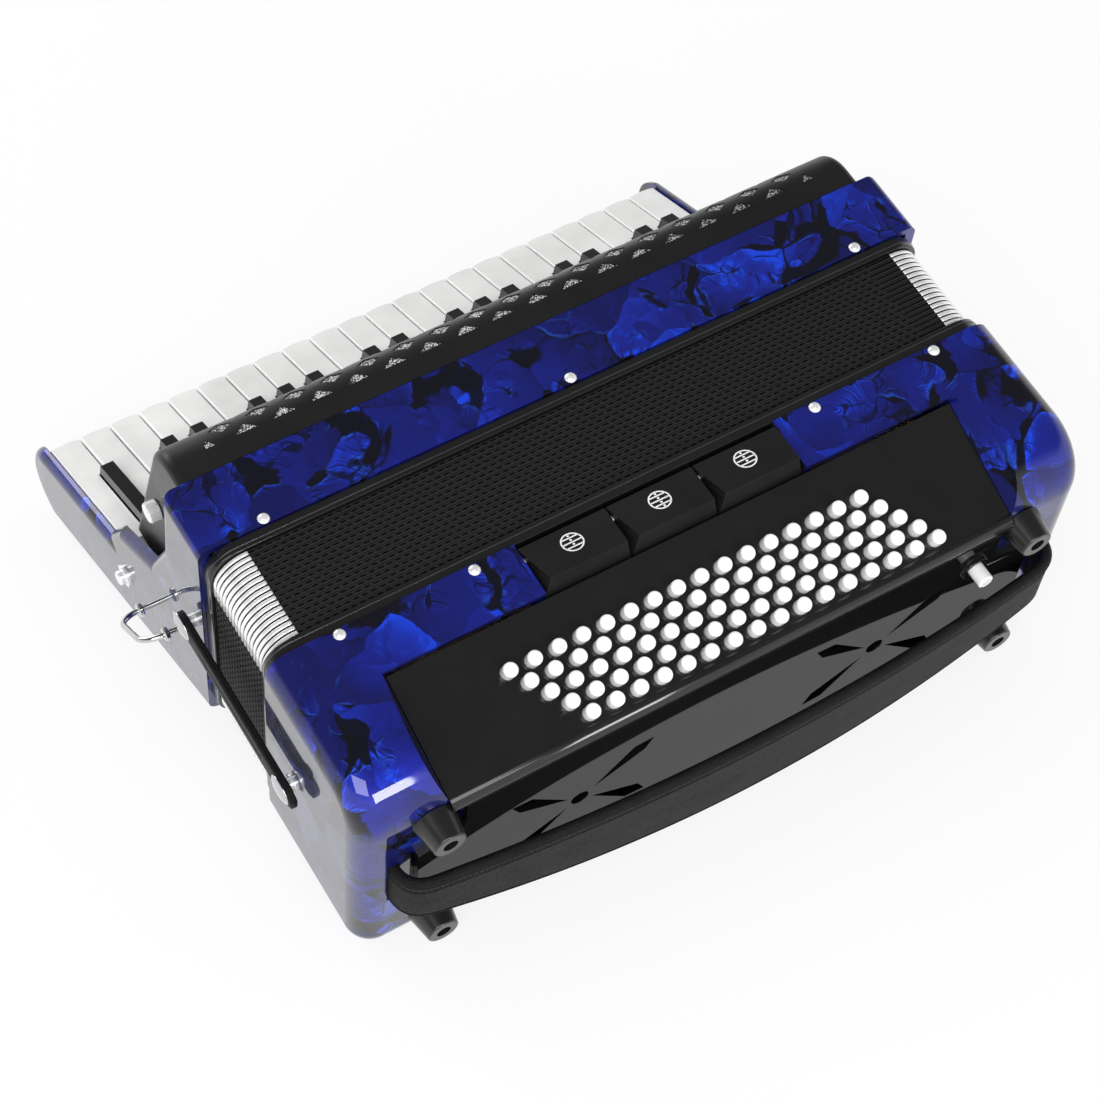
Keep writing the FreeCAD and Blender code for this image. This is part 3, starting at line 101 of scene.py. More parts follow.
def joint_named(name):
    return next(j for j in frame["joints"] if j["name"] == name)


def instrument_to_row():
    """Matrix from the instrument's frame, in metres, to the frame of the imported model."""
    along = joint_named("bellows")["axis"]
    turn = Matrix.Rotation(math.atan2(along[2], along[1]), 4, "X")
    pivot = joint_named("strap_left_swing")["pos_m"]
    local = Vector((pivot[0], STRAP_PIVOT[0] * MM, STRAP_PIVOT[1] * MM))
    return Matrix.Translation(Vector(pivot) - turn @ local) @ turn


TO_ROW = instrument_to_row()


def row_point(x, y, z):
    """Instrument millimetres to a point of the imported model's frame."""
    return TO_ROW @ Vector((x * MM, y * MM, z * MM))


# Lines and loops of points


def between(a, b, share):
    return (a[0] + (b[0] - a[0]) * share, a[1] + (b[1] - a[1]) * share)


def running_lengths(points):
    runs = [0.0]
    for a, b in zip(points, points[1:]):
        runs.append(runs[-1] + math.dist(a, b))
    return runs


def arc_points(centre, radius, start, end, steps):
    """Points of an arc in two coordinates, angles in degrees."""
    points = []
    for i in range(steps + 1):
        angle = math.radians(start + (end - start) * i / steps)
        points.append((centre[0] + radius * math.cos(angle),
                       centre[1] + radius * math.sin(angle)))
    return points


def round_edge(radius, depth):
    """Half height of a round edge at a depth from its outermost line."""
    return math.sqrt(max(0.0, radius**2 - (radius - depth) ** 2))


def dip(distance, place, width):
    """Smooth groove of depth one at a place."""
    return math.exp(-(((distance - place) / width) ** 2))


def loop_faces(rows, size, first=0, capped=True):
    """Quads between loops of points, with both ends closed or the last loop joined to the first."""
    faces = []
    for r in range(rows - 1 if capped else rows):
        low, high = first + r * size, first + (r + 1) % rows * size
        for i in range(size):
            j = (i + 1) % size
            faces.append((low + i, low + j, high + j, high + i))
    if capped:
        last = first + (rows - 1) * size
        faces.append(tuple(first + i for i in range(size)))
        faces.append(tuple(last + i for i in reversed(range(size))))
    return faces


# Meshes


def new_object(name, data):
    obj = bpy.data.objects.new(name, data)
    bpy.context.scene.collection.objects.link(obj)
    return obj


def new_piece(name, verts, faces, finishes=(), uvs=None, smooth=True, edges=()):
    """Object made from instrument millimetres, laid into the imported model's frame."""
    mesh = bpy.data.meshes.new(name)
    mesh.from_pydata([Vector(v) * MM for v in verts], edges, faces)
    if uvs is not None:
        layer = mesh.uv_layers.new(name="UVMap")
        for loop in mesh.loops:
            layer.data[loop.index].uv = uvs[loop.vertex_index]
    mesh.update()
    outward = bmesh.new()
    outward.from_mesh(mesh)
    bmesh.ops.recalc_face_normals(outward, faces=outward.faces)
    outward.to_mesh(mesh)
    outward.free()
    mesh.transform(TO_ROW)
    for poly in mesh.polygons:
        poly.use_smooth = smooth
    for finish in finishes:
        mesh.materials.append(bpy.data.materials[finish])
    return new_object(name, mesh)


# Nodes


class Nodes:
    """Small helper that adds and links nodes."""

    def __init__(self, tree):
        self.tree = tree

    def add(self, kind, inputs=None, **settings):
        node = self.tree.nodes.new(kind)
        for key, value in settings.items():
            setattr(node, key, value)
        self.fill(node, inputs or {})
        return node

    def put(self, socket, value):
        """Links a socket or sets its value; a colour gets an alpha of one."""
        if isinstance(value, bpy.types.NodeSocket):
            self.tree.links.new(value, socket)
        elif socket.type == "RGBA":
            socket.default_value = (*value, 1.0)
        else:
            socket.default_value = value

    def fill(self, node, inputs):
        for key, value in inputs.items():
            self.put(node.inputs[key], value)

    def math(self, operation, a, b=0.0):
        return self.add("ShaderNodeMath", {0: a, 1: b}, operation=operation).outputs[0]

    def plus(self, a, b):
        return self.math("ADD", a, b)

    def minus(self, a, b):
        return self.math("SUBTRACT", a, b)

    def times(self, a, b):
        return self.math("MULTIPLY", a, b)

    def most(self, a, b):
        return self.math("MAXIMUM", a, b)

    def part_of_one(self, a):
        return self.math("FRACT", a)

    def vector(self, operation, a, b, output=0):
        node = self.add("ShaderNodeVectorMath", {0: a, 1: b}, operation=operation)
        return node.outputs[output]

    def scaled(self, vector, factor):
        node = self.add("ShaderNodeVectorMath", {0: vector, "Scale": factor}, operation="SCALE")
        return node.outputs[0]

    def pushed(self, vector, colour, reach):
        """A vector moved to either side by a colour that varies around middle grey."""
        middle = self.vector("SUBTRACT", colour, (0.5, 0.5, 0.5))
        return self.vector("ADD", vector, self.scaled(middle, reach))

    def spread(self, value, low, high, out_low=0.0, out_high=1.0, smooth=False):
        inputs = dict(enumerate((value, low, high, out_low, out_high)))
        kind = "SMOOTHSTEP" if smooth else "LINEAR"
        return self.add("ShaderNodeMapRange", inputs, interpolation_type=kind).outputs[0]

    def band(self, value, low, inner_low, inner_high, high):
        """One between the inner limits, falling smoothly to zero at the outer ones."""
        return self.times(self.spread(value, low, inner_low, 0.0, 1.0, True),
                          self.spread(value, inner_high, high, 1.0, 0.0, True))

    def mix(self, factor, a, b):
        node = self.add("ShaderNodeMix", data_type="RGBA")
        self.fill(node, {0: factor, 6: a, 7: b})
        return node.outputs[2]

    def ramp(self, value, stops):
        node = self.add("ShaderNodeValToRGB", {0: value})
        elements = node.color_ramp.elements
        while len(elements) < len(stops):
            elements.new(0.5)
        for element, (place, colour) in zip(elements, stops):
            element.position = place
            element.color = (*colour, 1.0)
        return node.outputs[0]

    def noise(self, vector, scale, detail, roughness=0.5, distortion=0.0):
        """Outputs of a noise: its value and its colour."""
        return self.add("ShaderNodeTexNoise", {
            "Vector": vector, "Scale": scale, "Detail": detail, "Roughness": roughness,
            "Distortion": distortion}).outputs

    def cells(self, vector, scale, feature="F1"):
        inputs = {"Vector": vector, "Scale": scale}
        return self.add("ShaderNodeTexVoronoi", inputs, feature=feature).outputs

    def channels(self, colour):
        return self.add("ShaderNodeSeparateColor", {0: colour}).outputs

    def uv(self):
        """The two numbers of the mesh's UV map."""
        uv = self.add("ShaderNodeUVMap", uv_map="UVMap").outputs[0]
        return self.add("ShaderNodeSeparateXYZ", {0: uv}).outputs[:2]

    def bump(self, height, strength, distance):
        inputs = {"Height": height, "Strength": strength, "Distance": distance}
        return self.add("ShaderNodeBump", inputs).outputs[0]

    def group(self, name, vector, scale):
        """Outputs of one of the shader groups below."""
        tree = bpy.data.node_groups[name]
        return self.add("ShaderNodeGroup", {0: vector, 1: scale}, node_tree=tree).outputs


def shade(colour, share):
    return tuple(c * share for c in colour)


def group_tree(name, inputs, outputs, kind="ShaderNodeTree"):
    """Empty node group: its helper, its inner ends and the identifiers of its inputs."""
    tree = bpy.data.node_groups.new(name, kind)
    keys = {}
    for label, value_kind in inputs:
        socket = tree.interface.new_socket(label, in_out="INPUT",
                                           socket_type="NodeSocket" + value_kind)
        keys[label] = socket.identifier
    for label, value_kind in outputs:
        tree.interface.new_socket(label, in_out="OUTPUT", socket_type="NodeSocket" + value_kind)
    n = Nodes(tree)
    return n, n.add("NodeGroupInput"), n.add("NodeGroupOutput"), keys


def shader_group(name, scale_label, outputs):
    """Shader group over a vector and a number: its helper, these two and its end."""
    n, start, end, _ = group_tree(name, [("Vector", "Vector"), (scale_label, "Float")],
                                  [(label, "Float") for label in outputs])
    return n, start.outputs[0], start.outputs[1], end


def fine_grain_group():
    """Faint unevenness of a moulded or lacquered surface: a roughness mask and a height."""
    n, place, scale, end = shader_group("FineGrain", "Scale", ("Mask", "Height"))
    n.fill(end, {
        "Mask": n.spread(n.noise(place, 22.0, 3.0, 0.55)[0], 0.3, 0.7),
        "Height": n.noise(place, scale, 3.0, 0.6)[0],
    })


def leather_grain_group():
    """Pebbled leather: a height and a mask of its creases."""
    n, place, scale, end = shader_group("LeatherGrain", "Scale", ("Height", "Crease"))
    moved = n.vector("ADD", place, n.scaled(n.noise(place, 160.0, 2.0)[1], 0.0022))
    edge = n.cells(moved, scale, "DISTANCE_TO_EDGE")[0]
    n.fill(end, {
        "Height": n.spread(edge, 0.0, 0.3, 0.0, 1.0, True),
        "Crease": n.spread(edge, 0.0, 0.14, 1.0, 0.0),
    })


def pearl_plates(n, vector, scale, wear, gate):
    """One layer of broken plates: its cracks, the lit edges beside them and the plates' tone."""
    edge = n.cells(vector, scale, "DISTANCE_TO_EDGE")["Distance"]
    plate = n.cells(vector, scale)
    own = n.channels(plate["Color"])
    past = n.minus(edge, n.spread(wear, 0.53, 0.78, 0.0, 0.2))
    present = n.spread(wear, 0.44, 0.52)
    dark = n.times(n.spread(past, 0.0, 0.035, 1.0, 0.0, True), present)
    chosen = n.times(n.math("GREATER_THAN", own[0], 0.42), present)
    clear = n.times(chosen, n.minus(1.0, dark))
    lean = n.vector("DOT_PRODUCT", n.vector("SUBTRACT", vector, plate["Position"]),
                    n.vector("SUBTRACT", plate["Color"], (0.5, 0.5, 0.5)), "Value")
    return {
        "dark": dark,
        "lit": n.times(n.times(n.spread(past, 0.012, 0.06, 1.0, 0.0), gate), clear),
        "near": n.times(n.spread(past, 0.02, 0.3, 1.0, 0.0), clear),
        "tone": n.plus(n.times(own[1], 0.5), n.times(lean, n.times(scale, 1.6))),
        "turn": own[2],
    }


def pearl_flake_group():
    """Pearl celluloid: silky broken plates, black gaps between them and their lit edges."""
    n, place, scale, end = shader_group("PearlFlakes", "Scale",
                                        ("Tone", "Crease", "Dark", "Height"))
    slow = n.noise(place, n.times(scale, 0.8), 1.5)
    fine = n.noise(place, n.times(scale, 6.0), 3.0, 0.6)
    warped = n.pushed(n.pushed(place, slow[1], 0.05), fine[1], 0.0035)
    wear = n.noise(n.vector("ADD", place, (1.9, 8.1, 4.4)), n.times(scale, 1.05),
                   1.2, 0.5, 1.1)[0]
    gate = n.noise(n.vector("ADD", place, (7.7, 2.9, 1.3)), n.times(scale, 2.2), 4.0, 0.65)[0]
    sparkle = n.spread(gate, 0.46, 0.6)
    large = pearl_plates(n, warped, scale, wear, sparkle)
    small = pearl_plates(n, n.vector("ADD", warped, (0.31, 0.17, 0.23)), n.times(scale, 2.0),
                         n.minus(wear, 0.035), sparkle)
    turned = n.add("ShaderNodeVectorRotate", {
        "Vector": warped, "Axis": (0.1, 0.25, 0.96),
        "Angle": n.plus(n.times(large["turn"], 5.0), n.times(slow[0], 2.5)),
    }, rotation_type="AXIS_ANGLE").outputs[0]
    silk = n.noise(n.vector("MULTIPLY", turned, (30.0, 230.0, 130.0)), 1.0, 5.0, 0.6, 0.4)[0]
    near = n.most(large["near"], n.times(small["near"], 0.7))
    sheen = n.times(n.spread(silk, 0.4, 0.66),
                    n.most(near, n.times(n.spread(gate, 0.54, 0.68), 0.6)))
    tone = n.plus(n.times(large["tone"], 0.8), n.times(small["tone"], 0.15))
    tone = n.plus(tone, n.times(n.spread(slow[0], 0.3, 0.7), 0.2))
    tone = n.plus(tone, n.times(sheen, 0.8))
    strokes = n.times(n.spread(silk, 0.46, 0.36), n.spread(wear, 0.5, 0.58))
    dark = n.most(large["dark"], n.times(small["dark"], 0.85))
    n.fill(end, {
        "Tone": n.spread(tone, 0.04, 1.0),
        "Crease": n.most(large["lit"], n.times(small["lit"], 0.8)),
        "Dark": n.most(dark, n.times(strokes, 0.85)),
        "Height": n.plus(large["tone"], n.times(silk, 0.25)),
    })


def wood_grain_group():
    """Straight conifer grain running along X."""
    n, place, spacing, end = shader_group("WoodGrain", "Spacing", ("Grain",))
    drawn = n.vector("MULTIPLY", place, (0.05, 1.0, 1.0))
    wavy = n.vector("ADD", drawn, n.scaled(n.noise(drawn, 30.0, 3.0)[1], 0.01))
    n.put(end.inputs[0], n.spread(n.noise(wavy, spacing, 4.0, 0.7)[0], 0.35, 0.68))


# Materials


def emptied(tree):
    """Helper of a node tree whose nodes are cleared."""
    tree.nodes.clear()
    return Nodes(tree)


def new_material(name):
    """Helper, Principled BSDF and object coordinates of a new material."""
    material = bpy.data.materials.new(name)
    material.use_nodes = True
    n = emptied(material.node_tree)
    shader = n.add("ShaderNodeBsdfPrincipled")
    n.add("ShaderNodeOutputMaterial", {0: shader.outputs[0]})
    return n, shader, n.add("ShaderNodeTexCoord").outputs["Object"]


def satin_material(name, colour, rough, rough_spread, grain, strength, mirror=0.5, coat=0.0,
                   coat_rough=0.1):
    """Moulded or lacquered surface with a faint grain and uneven gloss."""
    n, shader, place = new_material(name)
    mask, height = n.group("FineGrain", place, grain)
    n.fill(shader, {
        "Base Color": n.mix(mask, shade(colour, 0.82), colour),
        "Roughness": n.spread(mask, 0.0, 1.0, rough - rough_spread, rough + rough_spread),
        "Normal": n.bump(height, strength, 0.0004),
        "Specular IOR Level": mirror,
        "Coat Weight": coat,
        "Coat Roughness": coat_rough,
    })


PEARL_LIT = (0.03, 0.15, 1.0)


def pearl_material(settings):
    """Pearl celluloid under clear lacquer, with painted shade that darkens it where it is seen from
    the side.
    """
    n, shader, place = new_material("PearlCelluloid")
    tone, crease, dark, height = n.group("PearlFlakes", place, settings.flake_density)
    deep, middle, bright = (Vector(c) for c in (settings.deep, settings.middle, settings.bright))
    shown = n.ramp(tone, [
        (0.0, deep.lerp(middle, 0.4)),
        (0.3, deep.lerp(middle, 0.75)),
        (0.55, middle),
        (0.8, middle.lerp(bright, 0.35)),
        (1.0, bright),
    ])
    shown = n.mix(n.times(crease, 0.85), shown, PEARL_LIT)
    shown = n.mix(n.times(dark, 0.97), shown, deep)
    side_view_shade = n.add("ShaderNodeLayerWeight").outputs["Facing"]
    n.fill(shader, {
        # Painted shade: the colour turns towards the deep pearl where the surface is seen from the
        # side.
        "Base Color": n.mix(n.spread(side_view_shade, 0.4, 0.8, 0.0, 0.75), shown, deep),
        "Roughness": n.spread(tone, 0.0, 1.0, 0.46, 0.3),
        "Normal": n.bump(height, 0.5, 0.0022),
        "Metallic": 0.5,
        "Specular IOR Level": 0.05,
        "Coat Weight": 1.0,
        "Coat Roughness": 0.03,
        "Coat IOR": 1.55,
    })


def metal_material(name, metal, low, high, bright):
    """Plated metal, of a mirror's gloss or a softer one."""
    n, shader, place = new_material(name)
    mask, height = n.group("FineGrain", place, 1400.0)
    n.fill(shader, {
        "Base Color": n.mix(mask, shade(WHITE, 0.9 * bright), shade(WHITE, bright)),
        "Roughness": n.spread(mask, 0.0, 1.0, low, high),
        "Normal": n.bump(height, 0.04, 0.0003),
        "Metallic": metal,
    })


def leather_material(name, colour, scale, rough):
    n, shader, place = new_material(name)
    height, crease = n.group("LeatherGrain", place, scale)
    n.fill(shader, {
        # The grain's creases are darker in colour: painted shade in the creases.
        "Base Color": n.mix(crease, colour, shade(colour, 0.45)),
        "Roughness": n.spread(crease, 0.0, 1.0, rough, rough + 0.25),
        "Normal": n.bump(height, 0.3, 0.0004),
        "Specular IOR Level": 0.12,
    })


def pad_leather_material(colour):
    """Strap leather with painted shade along its seam grooves and in its grain's creases; the seams
    are placed by the distance from the strap's upper or lower edge.
    """
    n, shader, place = new_material("PadLeather")
    height, crease = n.group("LeatherGrain", place, 900.0)
    down = n.uv()[1]
    seam = 0.0
    for row, width in SEAM_SHADE_LINES:
        off = n.math("ABSOLUTE", n.minus(down, row * MM))
        seam = n.most(seam, n.spread(off, width * 0.4 * MM, width * MM, 1.0, 0.0, True))
    worn = n.spread(n.noise(place, 60.0, 3.0)[0], 0.35, 0.65)
    shown = n.mix(worn, shade(colour, 0.8), shade(colour, 1.25))
    # Painted shade: the grain's creases are darkened.
    shown = n.mix(n.times(crease, 0.6), shown, shade(colour, 0.3))
    n.fill(shader, {
        # The seam grooves are painted almost black: painted shade.
        "Base Color": n.mix(n.times(seam, 0.95), shown, shade(WHITE, 0.0004)),
        "Roughness": n.spread(crease, 0.0, 1.0, 0.46, 0.7),
        "Normal": n.bump(n.minus(n.times(height, 0.25), seam), 0.9, 0.0012),
        "Specular IOR Level": 0.14,
    })


def grille_cloth_material():
    """Silver lurex cloth: bright threads with dark gaps and glints."""
    n, shader, place = new_material("SilverGrilleCloth")
    spots = n.cells(place, 1100.0)
    value = n.times(spots[0], 1.1)
    light = n.spread(n.channels(spots[1])[0], 0.2, 0.42)
    tone = n.times(light, n.spread(value, 0.75, 0.35))
    n.fill(shader, {
        "Base Color": n.mix(tone, shade(WHITE, 0.035), WHITE),
        "Metallic": n.times(tone, 0.3),
        "Roughness": n.spread(n.noise(place, 1500.0, 2.0)[0], 0.3, 0.7, 0.25, 0.5),
        "Normal": n.bump(value, 0.8, 0.0008),
    })


def timber_material():
    n, shader, place = new_material("Spruce")
    grain = n.group("WoodGrain", place, 520.0)[0]
    n.fill(shader, {
        "Base Color": n.mix(grain, (0.62, 0.43, 0.24), (0.4, 0.24, 0.11)),
        "Roughness": n.spread(grain, 0.0, 1.0, 0.5, 0.7),
        "Normal": n.bump(grain, 0.15, 0.0004),
    })


def bellows_front_material(dash_pitch):
    """Black covering of the folds' faces, with its rows of short pressed dashes."""
    n, shader, place = new_material("BellowsFace")
    run, turn = n.uv()
    shift = n.times(n.math("FLOOR", turn), 0.37)
    phase = n.part_of_one(n.plus(n.math("DIVIDE", run, dash_pitch), shift))
    across = n.part_of_one(turn)
    leaned = n.part_of_one(n.plus(phase, n.times(across, 0.3)))
    dash = n.most(n.band(leaned, 0.04, 0.12, 0.62, 0.72), 0.2)
    dash = n.times(dash, n.band(across, 0.28, 0.38, 0.54, 0.64))
    height, crease = n.group("LeatherGrain", place, 2200.0)
    n.fill(shader, {
        "Base Color": n.mix(dash, (0.018, 0.018, 0.0183), shade(WHITE, 0.0002)),
        "Roughness": n.spread(crease, 0.0, 1.0, 0.5, 0.66),
        "Normal": n.bump(n.minus(n.times(height, 0.12), dash), 0.8, 0.0006),
        "Specular IOR Level": 0.04,
    })


LOZENGE = 0.0056


def bellows_cloth_material():
    """Black cloth of the folds' sides, woven in small lozenges."""
    n, shader, place = new_material("BellowsSideCloth")
    run, turn = n.uv()
    u = n.math("DIVIDE", run, LOZENGE)
    slants = [n.math("ABSOLUTE", n.minus(n.part_of_one(slant), 0.5))
              for slant in (n.plus(u, turn), n.minus(u, turn))]
    height = n.spread(n.math("MINIMUM", *slants), 0.06, 0.3, 0.0, 1.0, True)
    thread = n.noise(place, 2600.0, 2.0)[0]
    n.fill(shader, {
        "Base Color": n.mix(height, shade(WHITE, 0.0004), (0.042, 0.042, 0.043)),
        "Roughness": n.spread(thread, 0.3, 0.7, 0.45, 0.8),
        "Normal": n.bump(height, 0.9, 0.0006),
        "Specular IOR Level": 0.1,
    })


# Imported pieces

FINISHES = {
    "PearlCelluloid": ["treble_case", "bass_case"],
    "BlackSatin": ["treble_grille", "bass_register"],
    "BlackLacquer": ["treble_bellows_frame", "bass_bellows_frame", "bass_button_board"],
    "BlackGloss": ["black_keys"],
    "BlackSheet": ["bass_end_plate"],
    "WhiteGloss": ["air_button", "white_key", "bass_button_row"],
    "Rubber": ["bass_feet"],
    "Nickel": ["treble_fasteners", "bass_fasteners"],
    "Chrome": ["shoulder_strap_loops", "key_axle"],
    "SilverGrilleCloth": ["grille_mesh"],
    "Spruce": ["keyboard_bed", "treble_soundboard", "treble_reed_blocks", "bass_reed_blocks"],
    "StrapLeather": ["hand_strap", "bellows_strap"],
}
SOFT_EDGES = {
    "bass_end_plate": 0.35,
    "bass_button_board": 0.6,
    "treble_bellows_frame": 0.7,
    "bass_bellows_frame": 0.7,
    "bass_register": 0.5,
}
EDGE_ANGLE = 32.0
WELD_DISTANCE = 0.00001
# Box of the notch's faces, in instrument millimetres, that get the painted shade.
NOTCH = (-80.0, 80.0, -67.9, -35.0, -30.0, -0.2)


def soften_edges(obj, width):
    """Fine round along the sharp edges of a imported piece, so that they catch the light."""
    weld = obj.modifiers.new("Weld", "WELD")
    weld.merge_threshold = WELD_DISTANCE
    bevel = obj.modifiers.new("Edges", "BEVEL")
    bevel.width = width * MM
    bevel.segments = 2
    bevel.limit_method = "ANGLE"
    bevel.angle_limit = math.radians(EDGE_ANGLE)
    bevel.use_clamp_overlap = True
    bevel.harden_normals = True


def paint_notch_shade(obj):
    """Black finish on the faces of the bass case that line the registers' notch: painted shade in
    the notch.
    """
    obj.data.materials.append(bpy.data.materials["BlackSatin"])
    inverse = TO_ROW.inverted()
    low_x, high_x, low_y, high_y, low_z, high_z = NOTCH
    for poly in obj.data.polygons:
        x, y, z = inverse @ poly.center / MM
        if low_x < x < high_x and low_y < y < high_y and low_z < z < high_z:
            poly.material_index = 1


# Settings


def colour_property(name, description, value):
    return bpy.props.FloatVectorProperty(
        name=name, description=description, default=value, size=3, min=0.0, max=1.0,
        subtype="COLOR",
    )


def length_property(name, description, value):
    return bpy.props.FloatProperty(
        name=name, description=description, default=value, min=0.0, unit="LENGTH",
        subtype="DISTANCE",
    )


def number_property(name, description, value, low, high):
    return bpy.props.FloatProperty(
        name=name, description=description, default=value, min=low, max=high,
    )


class FinishSettings(bpy.types.PropertyGroup):
    deep: colour_property("Deep pearl", "Colour of the pearl's black folds",
                          (0.0012, 0.0013, 0.0035))
    middle: colour_property("Middle pearl", "Colour of most plates of the pearl",
                            (0.009, 0.0165, 0.285))
    bright: colour_property("Bright pearl", "Colour of the pearl's bright creases",
                            (0.012, 0.075, 0.98))
    flake_density: number_property("Plates per metre",
                                   "How many pearl plates lie side by side in a metre",
                                   26.0, 4.0, 200.0)
    black: colour_property("Black", "Colour of the black lacquer and plastic",
                           (0.0112, 0.0112, 0.0114))
    white: colour_property("White", "Colour of the keys and buttons", (0.88, 0.88, 0.87))
    leather: colour_property("Leather", "Colour of the straps", (0.0092, 0.009, 0.009))


class BellowsSettings(bpy.types.PropertyGroup):
    folds: bpy.props.IntProperty(
        name="Folds", description="Number of folds of the bellows", default=17, min=3, max=40)
    half_length: length_property("Half length", "Half the length of the folds along the keyboard",
                                 0.218)
    front_drop: length_property("Front drop", "How far the folds lie behind the front", 0.003)
    fold_depth: length_property("Fold depth", "Depth of the valley between two folds", 0.0009)
    corner: length_property("Corner radius", "Radius of the folds' corners", 0.018)
    wall: length_property("Wall", "Thickness of the folded wall", 0.012)
    dash_pitch: length_property("Dash pitch", "Distance between two pressed dashes", 0.00507)
    guard_front: length_property("Guard on front", "Length of a metal corner along the front",
                                 0.0192)
    guard_side: length_property("Guard on side", "Length of a metal corner down the side", 0.030)


class StrapSettings(bpy.types.PropertyGroup):
    hand_thickness: length_property("Hand strap thickness", "Thickness of the padded strap",
                                    0.0058)
    hand_end_width: length_property("Hand strap end width", "Width of the strap at its slots",
                                    0.039)
    hand_middle_width: length_property("Hand strap middle width",
                                       "Width of the strap in its middle", 0.056)
    roll_radius: length_property("Rolled edge radius", "Radius of the rolled upper edge", 0.0035)
    stitch_pitch: length_property("Stitch pitch", "Distance between two stitches", 0.0030)
    band_width: length_property("Bellows strap width", "Width of the bellows straps", 0.015)
    band_thickness: length_property("Bellows strap thickness",
                                    "Thickness of the bellows straps", 0.004)
    cap_length: length_property("Cap length", "Length of an oval snap cap", 0.018)
    cap_height: length_property("Cap height", "Height of an oval snap cap", 0.0024)


class RegisterSettings(bpy.types.PropertyGroup):
    mark_radius: length_property("Mark radius", "Radius of the ring on a register", 0.0063)
    mark_line: length_property("Mark line", "Width of the mark's lines", 0.0008)
    mark_place: number_property("Mark place",
                                "Place of the mark from the far edge to the ridge",
                                0.42, 0.0, 1.0)


class GrilleSettings(bpy.types.PropertyGroup):
    cloth_depth: length_property("Cloth depth", "How far the cloth lies below the grille's face",
                                 0.0007)
    cloth_thickness: length_property("Cloth thickness", "Thickness of the grille's cloth", 0.0005)


class StageSettings(bpy.types.PropertyGroup):
    lens: number_property("Lens", "Focal length of the camera, in millimetres",
                          91.42, 20.0, 300.0)
    key_power: number_property("Key light", "Power of the key light, in watts",
                               32.0, 0.0, 2000.0)
    fill_power: number_property("Fill light", "Power of the fill light, in watts",
                                16.0, 0.0, 2000.0)
    sky: number_property("Sky", "Strength of the even light from all round", 0.7, 0.0, 5.0)
    ceiling: number_property("Ceiling", "Brightness of the studio's ceiling in reflections",
                             0.16, 0.0, 5.0)


# Bellows

RING_SIDE = 24
RING_CORNER = 10
FOLD_PROFILE = ((-0.5, 1.0), (-0.43, 0.5), (-0.34, 0.14), (-0.15, 0.0), (0.15, 0.0),
                (0.34, 0.14), (0.43, 0.5))
SIDE_CORNER_SHARE = 0.35
GUARD_WIDTH_SHARE = 0.7
GUARD_ARC_STEPS = 9
GUARD_PROFILE = ((-0.5, -0.75), (-0.5, -0.1), (-0.46, 0.3), (-0.36, 0.52), (-0.3, 0.57),
                 (0.0, 0.62), (0.3, 0.57), (0.36, 0.52), (0.46, 0.3), (0.5, -0.1), (0.5, -0.75))
BEAD_Y = 30.7
BEAD_PROFILE = ((-0.4, -0.4), (-0.36, 0.1), (-0.2, 0.28), (0.0, 0.34), (0.2, 0.28),
                (0.36, 0.1), (0.4, -0.4))
FRAME_HALF = 220.0
FRAME_DROP = 1.0
FRAME_CORNER = 17.0


def ring(half_x, drop, corner):
    """Points of a rounded rectangle round the bellows, in X and Z."""
    front, back = -drop, drop - CASE_DEPTH
    corners = []
    for x, z, start in ((half_x - corner, front - corner, 90), (half_x - corner, back + corner, 0),
                        (corner - half_x, back + corner, -90),
                        (corner - half_x, front - corner, -180)):
        corners += arc_points((x, z), corner, start, start - 90, RING_CORNER)
    points = []
    for i, (a, b) in enumerate(zip(corners, corners[1:] + corners[:1])):
        steps = 1 if (i + 1) % (RING_CORNER + 1) else RING_SIDE
        points += [between(a, b, k / steps) for k in range(steps)]
    return points


def fold_pitch(settings):
    return 2 * BELLOWS_HALF / settings.folds


def build_folds(settings):
    """Folded wall of the bellows, with its running length and fold number as UV map."""
    half, drop, depth, corner, wall = (
        value / MM for value in (settings.half_length, settings.front_drop, settings.fold_depth,
                                 settings.corner, settings.wall))
    pitch = fold_pitch(settings)
    base = ring(half, drop, corner)
    runs = running_lengths(base)
    count = len(base)
    stations = []
    for k in range(settings.folds):
        middle = (k + 0.5) * pitch - BELLOWS_HALF
        stations += [(middle + share * pitch, inset * depth, k + share + 0.5)
                     for share, inset in FOLD_PROFILE]
    stations.append((BELLOWS_HALF, depth, settings.folds))
    loops = [(y, ring(half - inset, drop + inset, corner - inset), turn)
             for y, inset, turn in stations]
    inner = ring(half - wall, drop + wall, corner / 2)
    loops += [(BELLOWS_HALF, inner, 0.0), (-BELLOWS_HALF, inner, 0.0)]
    verts = [(x, y, z) for y, loop, _ in loops for x, z in loop]
    uvs = [(run * MM, turn) for _, _, turn in loops for run in runs]
    cover = new_piece("bellows_cover", verts, loop_faces(len(loops), count, capped=False),
                      ["BellowsFace", "BellowsSideCloth"], uvs)
    for poly in cover.data.polygons:
        i = poly.index % count
        middle, _ = between(base[i], base[(i + 1) % count], 0.5)
        poly.material_index = int(abs(middle) > half - corner * SIDE_CORNER_SHARE)
    return cover


def guard_mesh(settings, y):
    """Points and faces of the metal corner bent over a fold at the left front."""
    half, drop, corner = (value / MM for value in (settings.half_length, settings.front_drop,
                                                   settings.corner))
    middle_x, middle_z = corner - half, -drop - corner
    start_x = settings.guard_front / MM - half
    path = [(start_x, -drop), (start_x - 1.0, -drop)]
    path += arc_points((middle_x, middle_z), corner, 90, 180, GUARD_ARC_STEPS)
    path.append((-half, -settings.guard_side / MM))
    width = fold_pitch(settings) * GUARD_WIDTH_SHARE
    verts = []
    for x, z in path:
        out_x, out_z = min(0.0, (x - middle_x) / corner), max(0.0, (z - middle_z) / corner)
        verts += [(x + out_x * lift, y + share * width, z + out_z * lift)
                  for share, lift in GUARD_PROFILE]
    return verts, loop_faces(len(path), len(GUARD_PROFILE))


